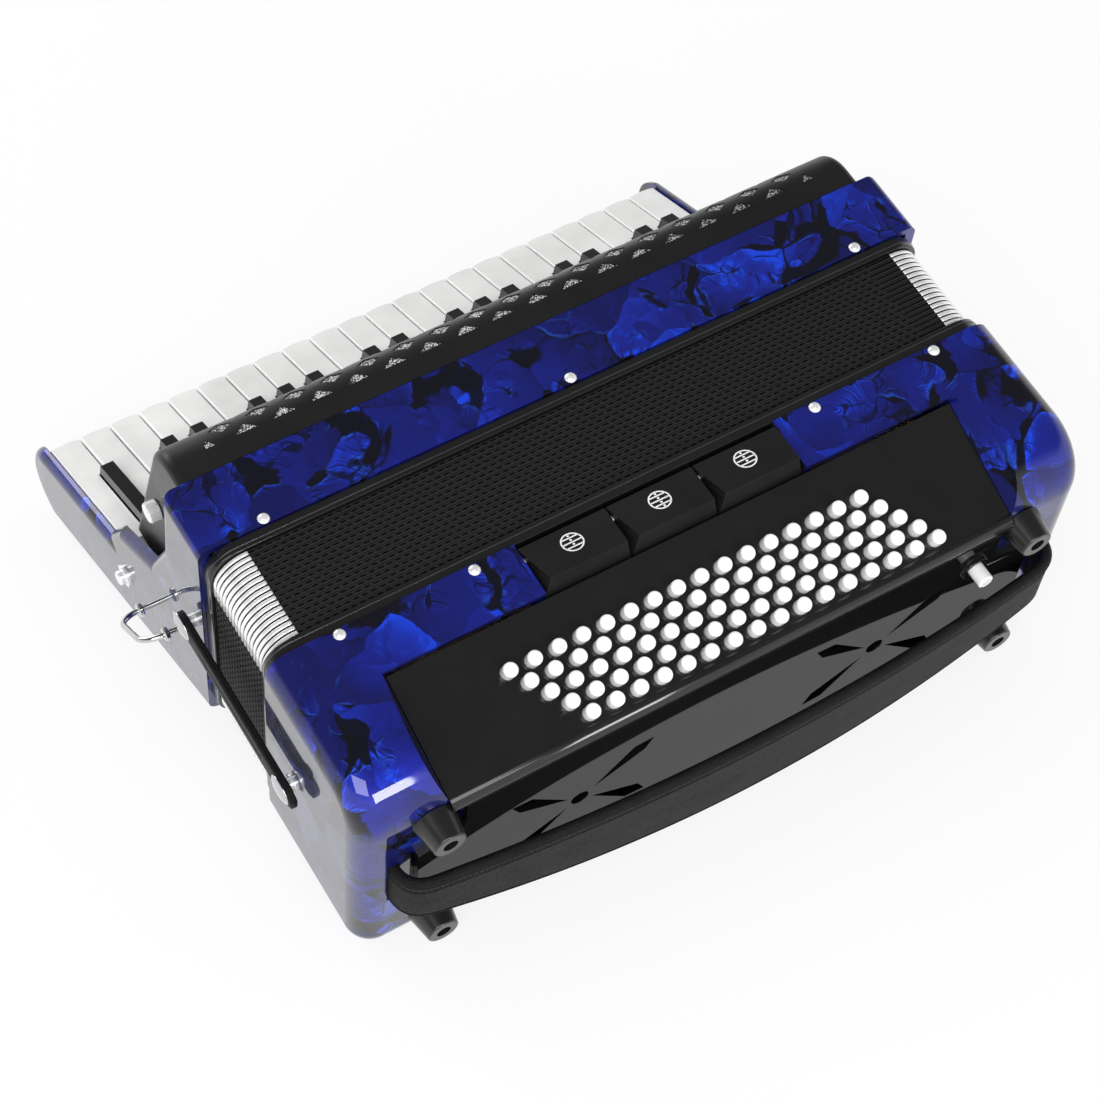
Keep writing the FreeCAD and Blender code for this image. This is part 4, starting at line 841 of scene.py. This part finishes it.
def build_guards(settings):
    """Four metal corners of one fold, repeated over the folds."""
    pitch = fold_pitch(settings)
    verts, faces = guard_mesh(settings, pitch / 2 - BELLOWS_HALF)
    middle_z = -CASE_DEPTH / 2
    all_verts, all_faces = [], []
    for flip_x in (1, -1):
        for flip_z in (1, -1):
            first = len(all_verts)
            all_verts += [(x * flip_x, y, middle_z + (z - middle_z) * flip_z)
                          for x, y, z in verts]
            all_faces += [tuple(first + i for i in face) for face in faces]
    source = new_piece("bellows_corner_set", all_verts, all_faces)
    return repeated(source, "bellows_corners", settings.folds,
                    TO_ROW.to_3x3() @ Vector((0, pitch * MM, 0)), "Nickel")


def build_bead(side, name):
    """Fine raised line that runs round a bellows frame, its black a little lighter than the frame's
    as a painted highlight.
    """
    verts = []
    for along, lift in BEAD_PROFILE:
        loop = ring(FRAME_HALF + lift, FRAME_DROP - lift, FRAME_CORNER + lift)
        verts += [(x, side * BEAD_Y + along, z) for x, z in loop]
    rows = len(BEAD_PROFILE)
    return new_piece(name, verts, loop_faces(rows, len(verts) // rows, capped=False),
                     ["BeadLine"])


def blend_over_bellows(obj):
    """Bakes a piece's placing into its mesh."""
    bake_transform(obj)


# Geometry Nodes


def geometry_group(name, inputs):
    """Geometry Nodes group over a geometry and more inputs."""
    plain = [("Geometry", "Geometry")]
    return group_tree(name, plain + inputs, plain, "GeometryNodeTree")


def put_out(n, instances, finish, end):
    """Makes instances real, gives them their finish and puts them out."""
    real = n.add("GeometryNodeRealizeInstances", {0: instances.outputs[0]})
    done = n.add("GeometryNodeSetMaterial", {"Geometry": real.outputs[0], "Material": finish})
    n.put(end.inputs[0], done.outputs[0])


def shaped(source, name, n, values):
    """Plain mesh object of what a Geometry Nodes group makes of an object, which goes."""
    modifier = source.modifiers.new("Shape", "NODES")
    modifier.node_group = n.tree
    for key, value in values.items():
        modifier[key] = value
    graph = bpy.context.evaluated_depsgraph_get()
    mesh = bpy.data.meshes.new_from_object(source.evaluated_get(graph))
    bpy.data.objects.remove(source)
    return new_object(name, mesh)


def repeated(source, name, count, step, finish):
    """Object repeated in a row."""
    n, start, end, keys = geometry_group("RepeatInRow", [("Count", "Int"), ("Step", "Vector"),
                                                         ("Finish", "Material")])
    given = start.outputs
    line = n.add("GeometryNodeMeshLine", {"Count": given["Count"], "Offset": given["Step"]},
                 mode="OFFSET")
    row = n.add("GeometryNodeInstanceOnPoints", {"Points": line.outputs[0],
                                                 "Instance": given["Geometry"]})
    put_out(n, row, given["Finish"], end)
    return shaped(source, name, n, {keys["Count"]: count, keys["Step"]: step,
                                    keys["Finish"]: bpy.data.materials[finish]})


def stitched(source, name, pitch, size, finish):
    """Row of stitches along a line of edges."""
    n, start, end, keys = geometry_group("StitchRow", [("Pitch", "Float"), ("Size", "Vector"),
                                                       ("Thread", "Material")])
    given = start.outputs
    curve = n.add("GeometryNodeMeshToCurve", {"Mesh": given["Geometry"]})
    points = n.add("GeometryNodeCurveToPoints", {"Curve": curve.outputs[0],
                                                 "Length": given["Pitch"]}, mode="LENGTH").outputs
    stitch = n.add("GeometryNodeMeshUVSphere", {"Segments": 6, "Rings": 4, "Radius": 1.0})
    lie = n.add("FunctionNodeAlignRotationToVector", {"Vector": points["Tangent"]}, axis="X")
    row = n.add("GeometryNodeInstanceOnPoints", {
        "Points": points["Points"], "Instance": stitch.outputs["Mesh"],
        "Rotation": lie.outputs[0], "Scale": given["Size"]})
    put_out(n, row, given["Thread"], end)
    return shaped(source, name, n, {keys["Pitch"]: pitch, keys["Size"]: size,
                                    keys["Thread"]: bpy.data.materials[finish]})


# Hand strap

HAND_STATIONS = 170
HAND_SMOOTHING = 6
SECTION_TOP = (0.0, 0.25, 0.8, 1.6, 2.6, 3.6, 4.6, 5.4, 6.0, 6.6, 7.2, 7.7, 8.1, 8.5, 8.9, 9.4,
               9.9, 10.4, 10.8, 11.1, 11.5, 11.9, 12.4, 13.2)
SECTION_BOTTOM = (5.0, 4.4, 4.0, 3.6, 3.2, 2.7, 2.0, 1.2, 0.6, 0.15)
SECTION_MIDDLE_STEPS = 8
BACK_LOW = (0.3, 1.2, 2.8, 6.0)
BACK_HIGH = (7.0, 4.6, 2.6, 1.0)
STITCH_SHARE = 0.36
STITCH_LIFT = 0.05
STITCH_ENDS = 8
THREAD_RADIUS = 0.00028


def hand_strap_line():
    """Evenly spaced X-Y points of the strap's middle line, from the left slot to the right."""
    bend = HAND_SLOT_X - HAND_TURN_X
    rough = [(-HAND_SLOT_X, HAND_START_Y)]
    rough += arc_points((-HAND_TURN_X, HAND_TURN_Y + bend), bend, 180, 262, 10)
    sagitta = HAND_TURN_Y - HAND_BOW_Y
    radius = (HAND_TURN_X**2 + sagitta**2) / (2 * sagitta)
    sweep = math.degrees(math.asin(HAND_TURN_X / radius))
    rough += arc_points((0, HAND_BOW_Y + radius), radius, 270 - sweep * 0.97, 270, 30)
    rough += [(-x, y) for x, y in reversed(rough[:-1])]
    runs = running_lengths(rough)
    points = []
    k = 0
    for i in range(HAND_STATIONS + 1):
        run = runs[-1] * i / HAND_STATIONS
        while k < len(runs) - 2 and runs[k + 1] < run:
            k += 1
        share = (run - runs[k]) / (runs[k + 1] - runs[k])
        points.append(between(rough[k], rough[k + 1], share))
    for _ in range(HAND_SMOOTHING):
        inner = [((a[0] + 2 * b[0] + c[0]) / 4, (a[1] + 2 * b[1] + c[1]) / 4)
                 for a, b, c in zip(points, points[1:], points[2:])]
        points = [points[0]] + inner + [points[-1]]
    return points


def hand_strap_frames(settings):
    """Point, outward direction, run and half width at each station of the strap."""
    line = hand_strap_line()
    end = settings.hand_end_width / MM / 2
    middle = settings.hand_middle_width / MM / 2
    frames = []
    for i, (point, run) in enumerate(zip(line, running_lengths(line))):
        before, after = line[max(i - 1, 0)], line[min(i + 1, len(line) - 1)]
        along = Vector((after[0] - before[0], after[1] - before[1])).normalized()
        swell = max(0.0, 1 - (point[0] / HAND_TURN_X) ** 2)
        frames.append((point, (along[1], -along[0]), run, end + (middle - end) * swell))
    return frames


def hand_strap_stand(settings, from_top, from_bottom, run):
    """How far the strap's outer face stands out from its middle line."""
    roll = settings.roll_radius / MM
    half = settings.hand_thickness / MM / 2
    rolled = round_edge(roll, from_top) if from_top < 2 * roll else 0
    flat = half if from_top > 1.3 * roll else 0.0
    if from_bottom < half:
        flat = round_edge(half, from_bottom)
    for row in STITCH_ROWS:
        flat -= 0.75 * dip(from_top, row, 0.5)
    flat -= 0.55 * dip(from_bottom, LOWER_SEAM, 0.45)
    flat += 0.3 * dip(from_top, sum(STITCH_ROWS) / 2, 1.0)
    pucker = math.sin(run * 1.05) * math.sin(run * 0.31 + 1.0)
    flat += 0.16 * pucker * dip(from_top, STITCH_ROWS[0], 3.0)
    flat += 0.12 * math.sin(run * 0.07) * dip(from_bottom, 14.0, 8.0)
    return max(rolled, flat)


def hand_strap_section(settings, half_width, run):
    """Loop of height and stand round the strap, down its outer face and up its inner."""
    width = 2 * half_width
    half = settings.hand_thickness / MM / 2
    roll = settings.roll_radius / MM
    middle = width - SECTION_TOP[-1] - SECTION_BOTTOM[0]
    runs = list(SECTION_TOP)
    runs += [SECTION_TOP[-1] + middle * k / SECTION_MIDDLE_STEPS
             for k in range(1, SECTION_MIDDLE_STEPS + 1)]
    runs += [width - up for up in SECTION_BOTTOM[1:]]
    loop = [(half_width - down, hand_strap_stand(settings, down, width - down, run))
            for down in runs]
    loop.append((-half_width, 0.0))
    for up in BACK_LOW + (half_width,) + tuple(width - down for down in BACK_HIGH):
        stand = round_edge(half, min(up, half))
        if width - up < 2 * roll:
            stand = min(stand, round_edge(roll, width - up))
        loop.append((up - half_width, -stand))
    return loop


def build_hand_strap(settings):
    verts, uvs = [], []
    frames = hand_strap_frames(settings)
    for (x, y), (nx, ny), run, half_width in frames:
        for height, stand in hand_strap_section(settings, half_width, run):
            verts.append((x + nx * stand, y + ny * stand, height - HAND_DROP))
            down, up = half_width - height, half_width + height
            uvs.append((run * MM, down * MM if down < up else -up * MM))
    faces = loop_faces(len(frames), len(verts) // len(frames))
    return new_piece("hand_strap_pad", verts, faces, ["PadLeather"], uvs)


def build_hand_stitches(settings):
    """Two rows of stitches below the strap's rolled edge."""
    verts, edges = [], []
    for row in STITCH_ROWS:
        first = len(verts)
        for (x, y), (nx, ny), run, half in hand_strap_frames(settings)[STITCH_ENDS:-STITCH_ENDS]:
            stand = hand_strap_stand(settings, row, 2 * half - row, run) + STITCH_LIFT
            verts.append((x + nx * stand, y + ny * stand, half - row - HAND_DROP))
        edges += [(i, i + 1) for i in range(first, len(verts) - 1)]
    source = new_piece("stitch_lines", verts, [], edges=edges)
    size = (settings.stitch_pitch * STITCH_SHARE, THREAD_RADIUS, THREAD_RADIUS)
    return stitched(source, "hand_strap_stitches", settings.stitch_pitch, size, "StitchThread")


# Bellows straps

BAND_EDGE = 0.7
BAND_GROOVE = 0.55
BAND_GROOVE_RUN = (26.0, -46.0)
BAND_GROOVE_FADE = 3.0
BAND_CUT = 5.0
BAND_CUT_SLOPE = 0.75
BAND_STEPS = (8, 44, 3)
CAP_PROFILE = ((1.0, 0.0), (1.0, 0.18), (0.97, 0.3), (0.9, 0.4), (0.8, 0.56), (0.62, 0.78),
               (0.4, 0.92), (0.18, 0.99))
CAP_FACETS = 48
CAP_WIDTH_SHARE = 0.8
CAP_SINK = 0.1


def band_half_width(y, half):
    """Half width of a bellows strap: round at the treble end, cut off at the bass end."""
    from_treble = STRAP_PIVOT[0] + half - y
    from_bass = y - STRAP_BASS_END_Y
    width = half
    if from_treble < half:
        width = math.sqrt(max(0.05, half**2 - (half - from_treble) ** 2))
    if from_bass < BAND_CUT:
        width = min(width, half - (BAND_CUT - from_bass) * BAND_CUT_SLOPE)
    return width


def band_section(half, thickness, groove):
    """Loop of height and stand of a strap: two layers with softened edges and a groove."""
    seam = thickness * 0.48
    inner = min(1.0, half * 0.3)
    loop = [(-half + BAND_EDGE, 0.0), (-half + 0.2, 0.2), (-half, BAND_EDGE),
            (-half, seam - 0.25), (-half + 0.3, seam), (-half, seam + 0.25),
            (-half, thickness - 2 * BAND_EDGE), (-half + BAND_EDGE, thickness - 0.45),
            (-half + 2.4 * BAND_EDGE, thickness), (-inner, thickness),
            (-inner * 0.55, thickness - groove * 0.35), (0.0, thickness - groove)]
    return loop + [(-a, b) for a, b in reversed(loop[:-1])]


def build_band(settings, side, name):
    half = settings.band_width / MM / 2
    thickness = settings.band_thickness / MM
    top, low = STRAP_PIVOT[0] + half, STRAP_BASS_END_Y + BAND_CUT
    arc, straight, cut = BAND_STEPS
    stations = [top - half * (1 - math.cos(math.radians(90 * k / arc))) for k in range(arc + 1)]
    turn = stations[-1]
    stations += [turn + (low - turn) * k / straight for k in range(1, straight + 1)]
    stations += [low - BAND_CUT * k / cut for k in range(1, cut + 1)]
    verts, uvs = [], []
    for y in stations:
        inside = min(1.0, max(0.0, (BAND_GROOVE_RUN[0] - y) / BAND_GROOVE_FADE))
        inside = min(inside, max(0.0, (y - BAND_GROOVE_RUN[1]) / BAND_GROOVE_FADE))
        for height, stand in band_section(band_half_width(y, half), thickness,
                                          BAND_GROOVE * inside):
            verts.append((side * (CASE_HALF + STRAP_STAND + stand), y, STRAP_PIVOT[1] + height))
            uvs.append((y * MM, height * MM))
    faces = loop_faces(len(stations), len(verts) // len(stations))
    return new_piece(name, verts, faces, ["BandLeather"], uvs)


def build_caps(settings, side, name):
    """Oval caps over the two snaps of a strap."""
    length = settings.cap_length / MM / 2
    height = settings.cap_height / MM
    base = CASE_HALF + STRAP_STAND + settings.band_thickness / MM - CAP_SINK
    verts, faces = [], []
    for y in (STRAP_PIVOT[0], STRAP_CATCH_Y):
        faces += loop_faces(len(CAP_PROFILE), CAP_FACETS, len(verts))
        for share, rise in CAP_PROFILE:
            for i in range(CAP_FACETS):
                angle = 2 * math.pi * i / CAP_FACETS
                verts.append((side * (base + rise * height),
                              y + length * share * math.cos(angle),
                              STRAP_PIVOT[1]
                              + length * CAP_WIDTH_SHARE * share * math.sin(angle)))
    return new_piece(name, verts, faces, ["Chrome"])


# Grille cloth

GRILLE_START_Y = 77.6
GRILLE_FLAT_END_Y = 88.0
GRILLE_BEND = 24.0
GRILLE_FOOT_Y = 142.5
GRILLE_FOOT_DROP = 128.0


def grille_line(inset):
    """Y-Z line of the grille moved in by inset: flat top, bend and key-side wall."""
    run = GRILLE_FOOT_Y - GRILLE_FLAT_END_Y
    fall = GRILLE_FOOT_DROP - GRILLE_BEND
    lean = math.atan2(run, fall) - math.asin(GRILLE_BEND / math.hypot(run, fall))
    points = [(GRILLE_START_Y, -inset)]
    points += arc_points((GRILLE_FLAT_END_Y, -GRILLE_BEND), GRILLE_BEND - inset, 90,
                         math.degrees(lean), 12)
    y, z = points[-1]
    points.append((y + (z + GRILLE_FOOT_DROP) * math.tan(lean), -GRILLE_FOOT_DROP))
    return points


def build_grille_cloth(settings):
    """Cloth that fills the grille's openings just below its face."""
    low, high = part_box("grille_mesh")
    half = (high[0] - low[0]) / 2 / MM
    depth = settings.cloth_depth / MM
    loop = grille_line(depth) + grille_line(depth + settings.cloth_thickness / MM)[::-1]
    verts = [(x, y, z) for x in (-half, half) for y, z in loop]
    return new_piece("grille_cloth", verts, loop_faces(2, len(loop)), ["SilverGrilleCloth"])


# Register marks

MARK_LIFT = 0.08
MARK_SINK = 0.12
MARK_LINES = (-3.1, 0.0, 3.1)
DOT_ROW = ((0.0, 4.6), (0.0, 1.55), (0.0, -1.55))
MARK_DOTS = (DOT_ROW, DOT_ROW + ((0.0, -4.6), (3.7, 0.0)), DOT_ROW)
MARK_FACETS = 48
DOT_SHARE = 1.7


def mark_plates(settings, dots):
    """Outlines of a mark's ring, lines and dots, in millimetres round its middle."""
    radius = settings.mark_radius / MM
    line = settings.mark_line / MM / 2
    outer, inner = (arc_points((0, 0), reach, 0, 360, MARK_FACETS)
                    for reach in (radius, radius - 2 * line))
    plates = [[outer[i], outer[i + 1], inner[i + 1], inner[i]] for i in range(MARK_FACETS)]
    for v in MARK_LINES:
        reach = math.sqrt((radius - line) ** 2 - v**2)
        plates.append([(-reach, v - line), (reach, v - line), (reach, v + line),
                       (-reach, v + line)])
    return plates + [arc_points(dot, line * DOT_SHARE, 0, 330, 11) for dot in dots]


def build_mark(settings, middle, dots, name):
    run = Vector((0, REGISTER_RIDGE_Y - REGISTER_FAR_Y, REGISTER_RISE))
    centre = Vector((middle, REGISTER_FAR_Y, 0)) + run * settings.mark_place
    across = -run.normalized()
    up = Vector((1, 0, 0)).cross(across).normalized()
    verts, faces = [], []
    for plate in mark_plates(settings, dots):
        faces += loop_faces(2, len(plate), len(verts))
        verts += [tuple(centre + Vector((u, 0, 0)) + across * v + up * lift)
                  for lift in (-MARK_SINK, MARK_LIFT) for u, v in plate]
    return new_piece(name, verts, faces, ["WhitePrint"], smooth=False)


# Stage

# Camera pose in the instrument's frame: place in millimetres and turn in degrees.
CAMERA_PLACE = (-513.2, -639.4, 1211.9)
CAMERA_TURN = (31.3058, -3.7643, -30.9890)
SENSOR_WIDTH = 36.0
FLOOR_REACH = 6.0
FLOOR_GREY = 0.86
FLOOR_GLOW_SHARE = 0.82

# Soft lights: heading in the instrument's frame, distance and sizes in metres.
LIGHT_DISTANCE = 2.3
LIGHTS = (
    ("KeyLight", (-0.47, -0.5, 0.72), (1.6, 1.2), "key_power"),
    ("FillLight", (0.03, -0.88, 0.47), (0.55, 0.6), "fill_power"),
    ("EdgeLight", (-0.25, 0.95, 0.25), (1.4, 0.9), "fill_power"),
)


def add_camera(scene, lens):
    data = bpy.data.cameras.new("Camera")
    data.sensor_width = SENSOR_WIDTH
    data.lens = lens
    camera = new_object("Camera", data)
    turn = Euler([math.radians(angle) for angle in CAMERA_TURN]).to_matrix().to_4x4()
    camera.matrix_world = TO_ROW @ Matrix.Translation(Vector(CAMERA_PLACE) * MM) @ turn
    scene.camera = camera


def add_light(name, heading, size, power):
    """Soft light that looks at the instrument from a heading of its own frame."""
    target = row_point(0, 0, -CASE_DEPTH / 2)
    place = target + (TO_ROW.to_3x3() @ Vector(heading)).normalized() * LIGHT_DISTANCE
    light = bpy.data.lights.new(name, "AREA")
    light.shape = "RECTANGLE"
    light.size, light.size_y = size
    light.energy = power
    obj = new_object(name, light)
    obj.location = place
    obj.rotation_euler = (target - place).to_track_quat("-Z", "Y").to_euler()


def add_world(scene, settings):
    """White for the camera, even light on the instrument and a dim ceiling in its mirrors."""
    world = bpy.data.worlds.new("Studio")
    scene.world = world
    world.use_nodes = True
    n = emptied(world.node_tree)
    path = n.add("ShaderNodeLightPath").outputs
    heading = n.add("ShaderNodeTexCoord").outputs["Generated"]
    height = n.add("ShaderNodeSeparateXYZ", {0: heading}).outputs[2]
    ceiling = n.spread(height, 0.12, 0.5, 1.0, settings.ceiling, True)
    mirrored = n.most(path["Is Glossy Ray"], path["Is Transmission Ray"])
    strength = n.plus(n.times(mirrored, ceiling), n.times(n.minus(1.0, mirrored), settings.sky))
    light = n.add("ShaderNodeBackground", {
        "Color": WHITE, "Strength": n.most(strength, path["Is Camera Ray"])})
    n.add("ShaderNodeOutputWorld", {0: light.outputs[0]})


def floor_material():
    """Plain white floor that keeps the instrument's shadow."""
    material = bpy.data.materials.new("FloorWhite")
    material.use_nodes = True
    n = emptied(material.node_tree)
    shader = n.add("ShaderNodeBsdfPrincipled", {
        "Base Color": shade(WHITE, FLOOR_GREY), "Roughness": 0.9, "Specular IOR Level": 0.0})
    glow = n.add("ShaderNodeEmission", {"Color": WHITE, "Strength": 1.0})
    path = n.add("ShaderNodeLightPath").outputs
    seen = n.most(path["Is Camera Ray"],
                  n.most(path["Is Glossy Ray"], path["Is Transmission Ray"]))
    both = n.add("ShaderNodeMixShader", {
        0: n.times(seen, FLOOR_GLOW_SHARE), 1: shader.outputs[0], 2: glow.outputs[0]})
    n.add("ShaderNodeOutputMaterial", {0: both.outputs[0]})
    return material


# Operators


class ACCORDION_OT_finishes(bpy.types.Operator):
    """Makes the materials of every finish"""

    bl_idname = "accordion.finishes"
    bl_label = "Finishes"

    def execute(self, context):
        settings = context.scene.accordion_finish
        black, leather = tuple(settings.black), tuple(settings.leather)
        fine_grain_group()
        leather_grain_group()
        pearl_flake_group()
        wood_grain_group()
        pearl_material(settings)
        satin_material("BlackSatin", black, 0.34, 0.05, 1300.0, 0.12, mirror=0.3)
        satin_material("BlackGloss", shade(black, 0.6), 0.3, 0.05, 300.0, 0.02, mirror=0.0,
                       coat=0.75, coat_rough=0.03)
        satin_material("BlackSheet", shade(black, 0.5), 0.3, 0.05, 300.0, 0.02, mirror=0.0,
                       coat=0.55, coat_rough=0.03)
        satin_material("BlackLacquer", shade(black, 0.8), 0.3, 0.05, 600.0, 0.03, mirror=0.1,
                       coat=0.8, coat_rough=0.08)
        satin_material("WhiteGloss", tuple(settings.white), 0.16, 0.04, 500.0, 0.02, coat=0.4,
                       coat_rough=0.05)
        satin_material("Rubber", (0.008, 0.008, 0.0085), 0.3, 0.05, 1600.0, 0.08, coat=0.35,
                       coat_rough=0.15)
        satin_material("StitchThread", (0.035, 0.035, 0.036), 0.6, 0.1, 2500.0, 0.3)
        # The bead's black is lighter than the frames' lacquer: a painted highlight along the line.
        satin_material("BeadLine", (0.02, 0.02, 0.02), 0.3, 0.05, 900.0, 0.03, coat=0.6)
        satin_material("WhitePrint", (0.85, 0.85, 0.85), 0.4, 0.08, 900.0, 0.05)
        metal_material("Chrome", 1.0, 0.05, 0.12, 0.62)
        metal_material("Nickel", 0.5, 0.2, 0.3, 0.93)
        leather_material("StrapLeather", leather, 900.0, 0.42)
        leather_material("BandLeather", shade(leather, 0.8), 1300.0, 0.36)
        pad_leather_material(leather)
        grille_cloth_material()
        timber_material()
        bellows_front_material(context.scene.accordion_bellows.dash_pitch)
        bellows_cloth_material()
        return {"FINISHED"}


class ACCORDION_OT_packed_pieces(bpy.types.Operator):
    """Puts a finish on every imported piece"""

    bl_idname = "accordion.packed_pieces"
    bl_label = "Packed pieces"

    def execute(self, context):
        for name, obj in frame["nodes"].items():
            for finish, starts in FINISHES.items():
                if name.startswith(tuple(starts)):
                    obj.data.materials.clear()
                    obj.data.materials.append(bpy.data.materials[finish])
            for start, width in SOFT_EDGES.items():
                if name.startswith(start):
                    soften_edges(obj, width)
        paint_notch_shade(frame["nodes"]["bass_case"])
        return {"FINISHED"}


class ACCORDION_OT_bellows_folds(bpy.types.Operator):
    """Builds the folds of the bellows"""

    bl_idname = "accordion.bellows_folds"
    bl_label = "Bellows folds"

    def execute(self, context):
        folds = build_folds(context.scene.accordion_bellows)
        blend_over_bellows(folds)
        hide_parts("bellows_folds")
        return {"FINISHED"}


class ACCORDION_OT_bellows_corners(bpy.types.Operator):
    """Builds the metal corners of the bellows"""

    bl_idname = "accordion.bellows_corners"
    bl_label = "Bellows corners"

    def execute(self, context):
        guards = build_guards(context.scene.accordion_bellows)
        blend_over_bellows(guards)
        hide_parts("bellows_guards")
        return {"FINISHED"}


class ACCORDION_OT_frame_beads(bpy.types.Operator):
    """Builds the raised line round each bellows frame"""

    bl_idname = "accordion.frame_beads"
    bl_label = "Frame beads"

    def execute(self, context):
        for side, body in ((-1, "bass"), (1, "treble")):
            bead = build_bead(side, "frame_bead_" + body)
            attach(bead, body)
        return {"FINISHED"}


class ACCORDION_OT_hand_strap(bpy.types.Operator):
    """Builds the padded hand strap and its stitches"""

    bl_idname = "accordion.hand_strap"
    bl_label = "Hand strap"

    def execute(self, context):
        settings = context.scene.accordion_straps
        pad = build_hand_strap(settings)
        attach(pad, "bass")
        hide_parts("hand_strap")
        stitches = build_hand_stitches(settings)
        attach(stitches, "bass")
        return {"FINISHED"}


class ACCORDION_OT_bellows_straps(bpy.types.Operator):
    """Builds the leather straps over the bellows ends and their caps"""

    bl_idname = "accordion.bellows_straps"
    bl_label = "Bellows straps"

    def execute(self, context):
        settings = context.scene.accordion_straps
        for side, label in ((-1, "left"), (1, "right")):
            band = build_band(settings, side, "strap_band_" + label)
            caps = build_caps(settings, side, "strap_caps_" + label)
            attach(band, "strap_" + label)
            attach(caps, "strap_" + label)
            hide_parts("bellows_strap_" + label)
        return {"FINISHED"}


class ACCORDION_OT_grille_cloth(bpy.types.Operator):
    """Builds the silver cloth in the grille's openings"""

    bl_idname = "accordion.grille_cloth"
    bl_label = "Grille cloth"

    def execute(self, context):
        cloth = build_grille_cloth(context.scene.accordion_grille)
        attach(cloth, "treble")
        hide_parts("grille_mesh")
        return {"FINISHED"}


class ACCORDION_OT_register_marks(bpy.types.Operator):
    """Builds the white mark of each bass register"""

    bl_idname = "accordion.register_marks"
    bl_label = "Register marks"

    def execute(self, context):
        settings = context.scene.accordion_registers
        for k, dots in enumerate(MARK_DOTS):
            name = "register_mark_%d" % (k + 1)
            mark = build_mark(settings, (k - 1) * REGISTER_PITCH, dots, name)
            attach(mark, "bass_register_%d_body" % (k + 1))
        return {"FINISHED"}


class ACCORDION_OT_stage(bpy.types.Operator):
    """Sets up the floor, lights, world and camera"""

    bl_idname = "accordion.stage"
    bl_label = "Stage"

    def execute(self, context):
        scene = context.scene
        settings = scene.accordion_stage
        scene.view_settings.view_transform = "Standard"
        add_camera(scene, settings.lens)
        reach = FLOOR_REACH
        mesh = bpy.data.meshes.new("floor")
        mesh.from_pydata([(-reach, -reach, 0), (reach, -reach, 0), (reach, reach, 0),
                          (-reach, reach, 0)], [], [(0, 1, 2, 3)])
        mesh.materials.append(floor_material())
        new_object("floor", mesh)
        for name, heading, size, power in LIGHTS:
            add_light(name, heading, size, getattr(settings, power))
        add_world(scene, settings)
        return {"FINISHED"}


OPERATORS = [
    ACCORDION_OT_finishes,
    ACCORDION_OT_packed_pieces,
    ACCORDION_OT_bellows_folds,
    ACCORDION_OT_bellows_corners,
    ACCORDION_OT_frame_beads,
    ACCORDION_OT_hand_strap,
    ACCORDION_OT_bellows_straps,
    ACCORDION_OT_grille_cloth,
    ACCORDION_OT_register_marks,
    ACCORDION_OT_stage,
]

SETTINGS = {
    "accordion_finish": FinishSettings,
    "accordion_bellows": BellowsSettings,
    "accordion_straps": StrapSettings,
    "accordion_registers": RegisterSettings,
    "accordion_grille": GrilleSettings,
    "accordion_stage": StageSettings,
}


class ACCORDION_PT_panel(bpy.types.Panel):
    """Buttons and settings of the accordion."""

    bl_label = "Piano accordion"
    bl_idname = "ACCORDION_PT_panel"
    bl_space_type = "VIEW_3D"
    bl_region_type = "UI"
    bl_category = "Accordion"

    def draw(self, context):
        for label in SETTINGS:
            group = getattr(context.scene, label)
            for name in group.bl_rna.properties.keys():
                if name not in ("rna_type", "name"):
                    self.layout.prop(group, name)
        for operator in OPERATORS:
            self.layout.operator(operator.bl_idname)


CLASSES = list(SETTINGS.values()) + OPERATORS + [ACCORDION_PT_panel]


def register():
    for cls in CLASSES:
        bpy.utils.register_class(cls)
    for name, cls in SETTINGS.items():
        setattr(bpy.types.Scene, name, bpy.props.PointerProperty(type=cls))


def unregister():
    for name in SETTINGS:
        delattr(bpy.types.Scene, name)
    for cls in reversed(CLASSES):
        bpy.utils.unregister_class(cls)


def main():
    register()
    for operator in OPERATORS:
        getattr(bpy.ops.accordion, operator.bl_idname.split(".")[1])()


if __name__ == "__main__":
    main()
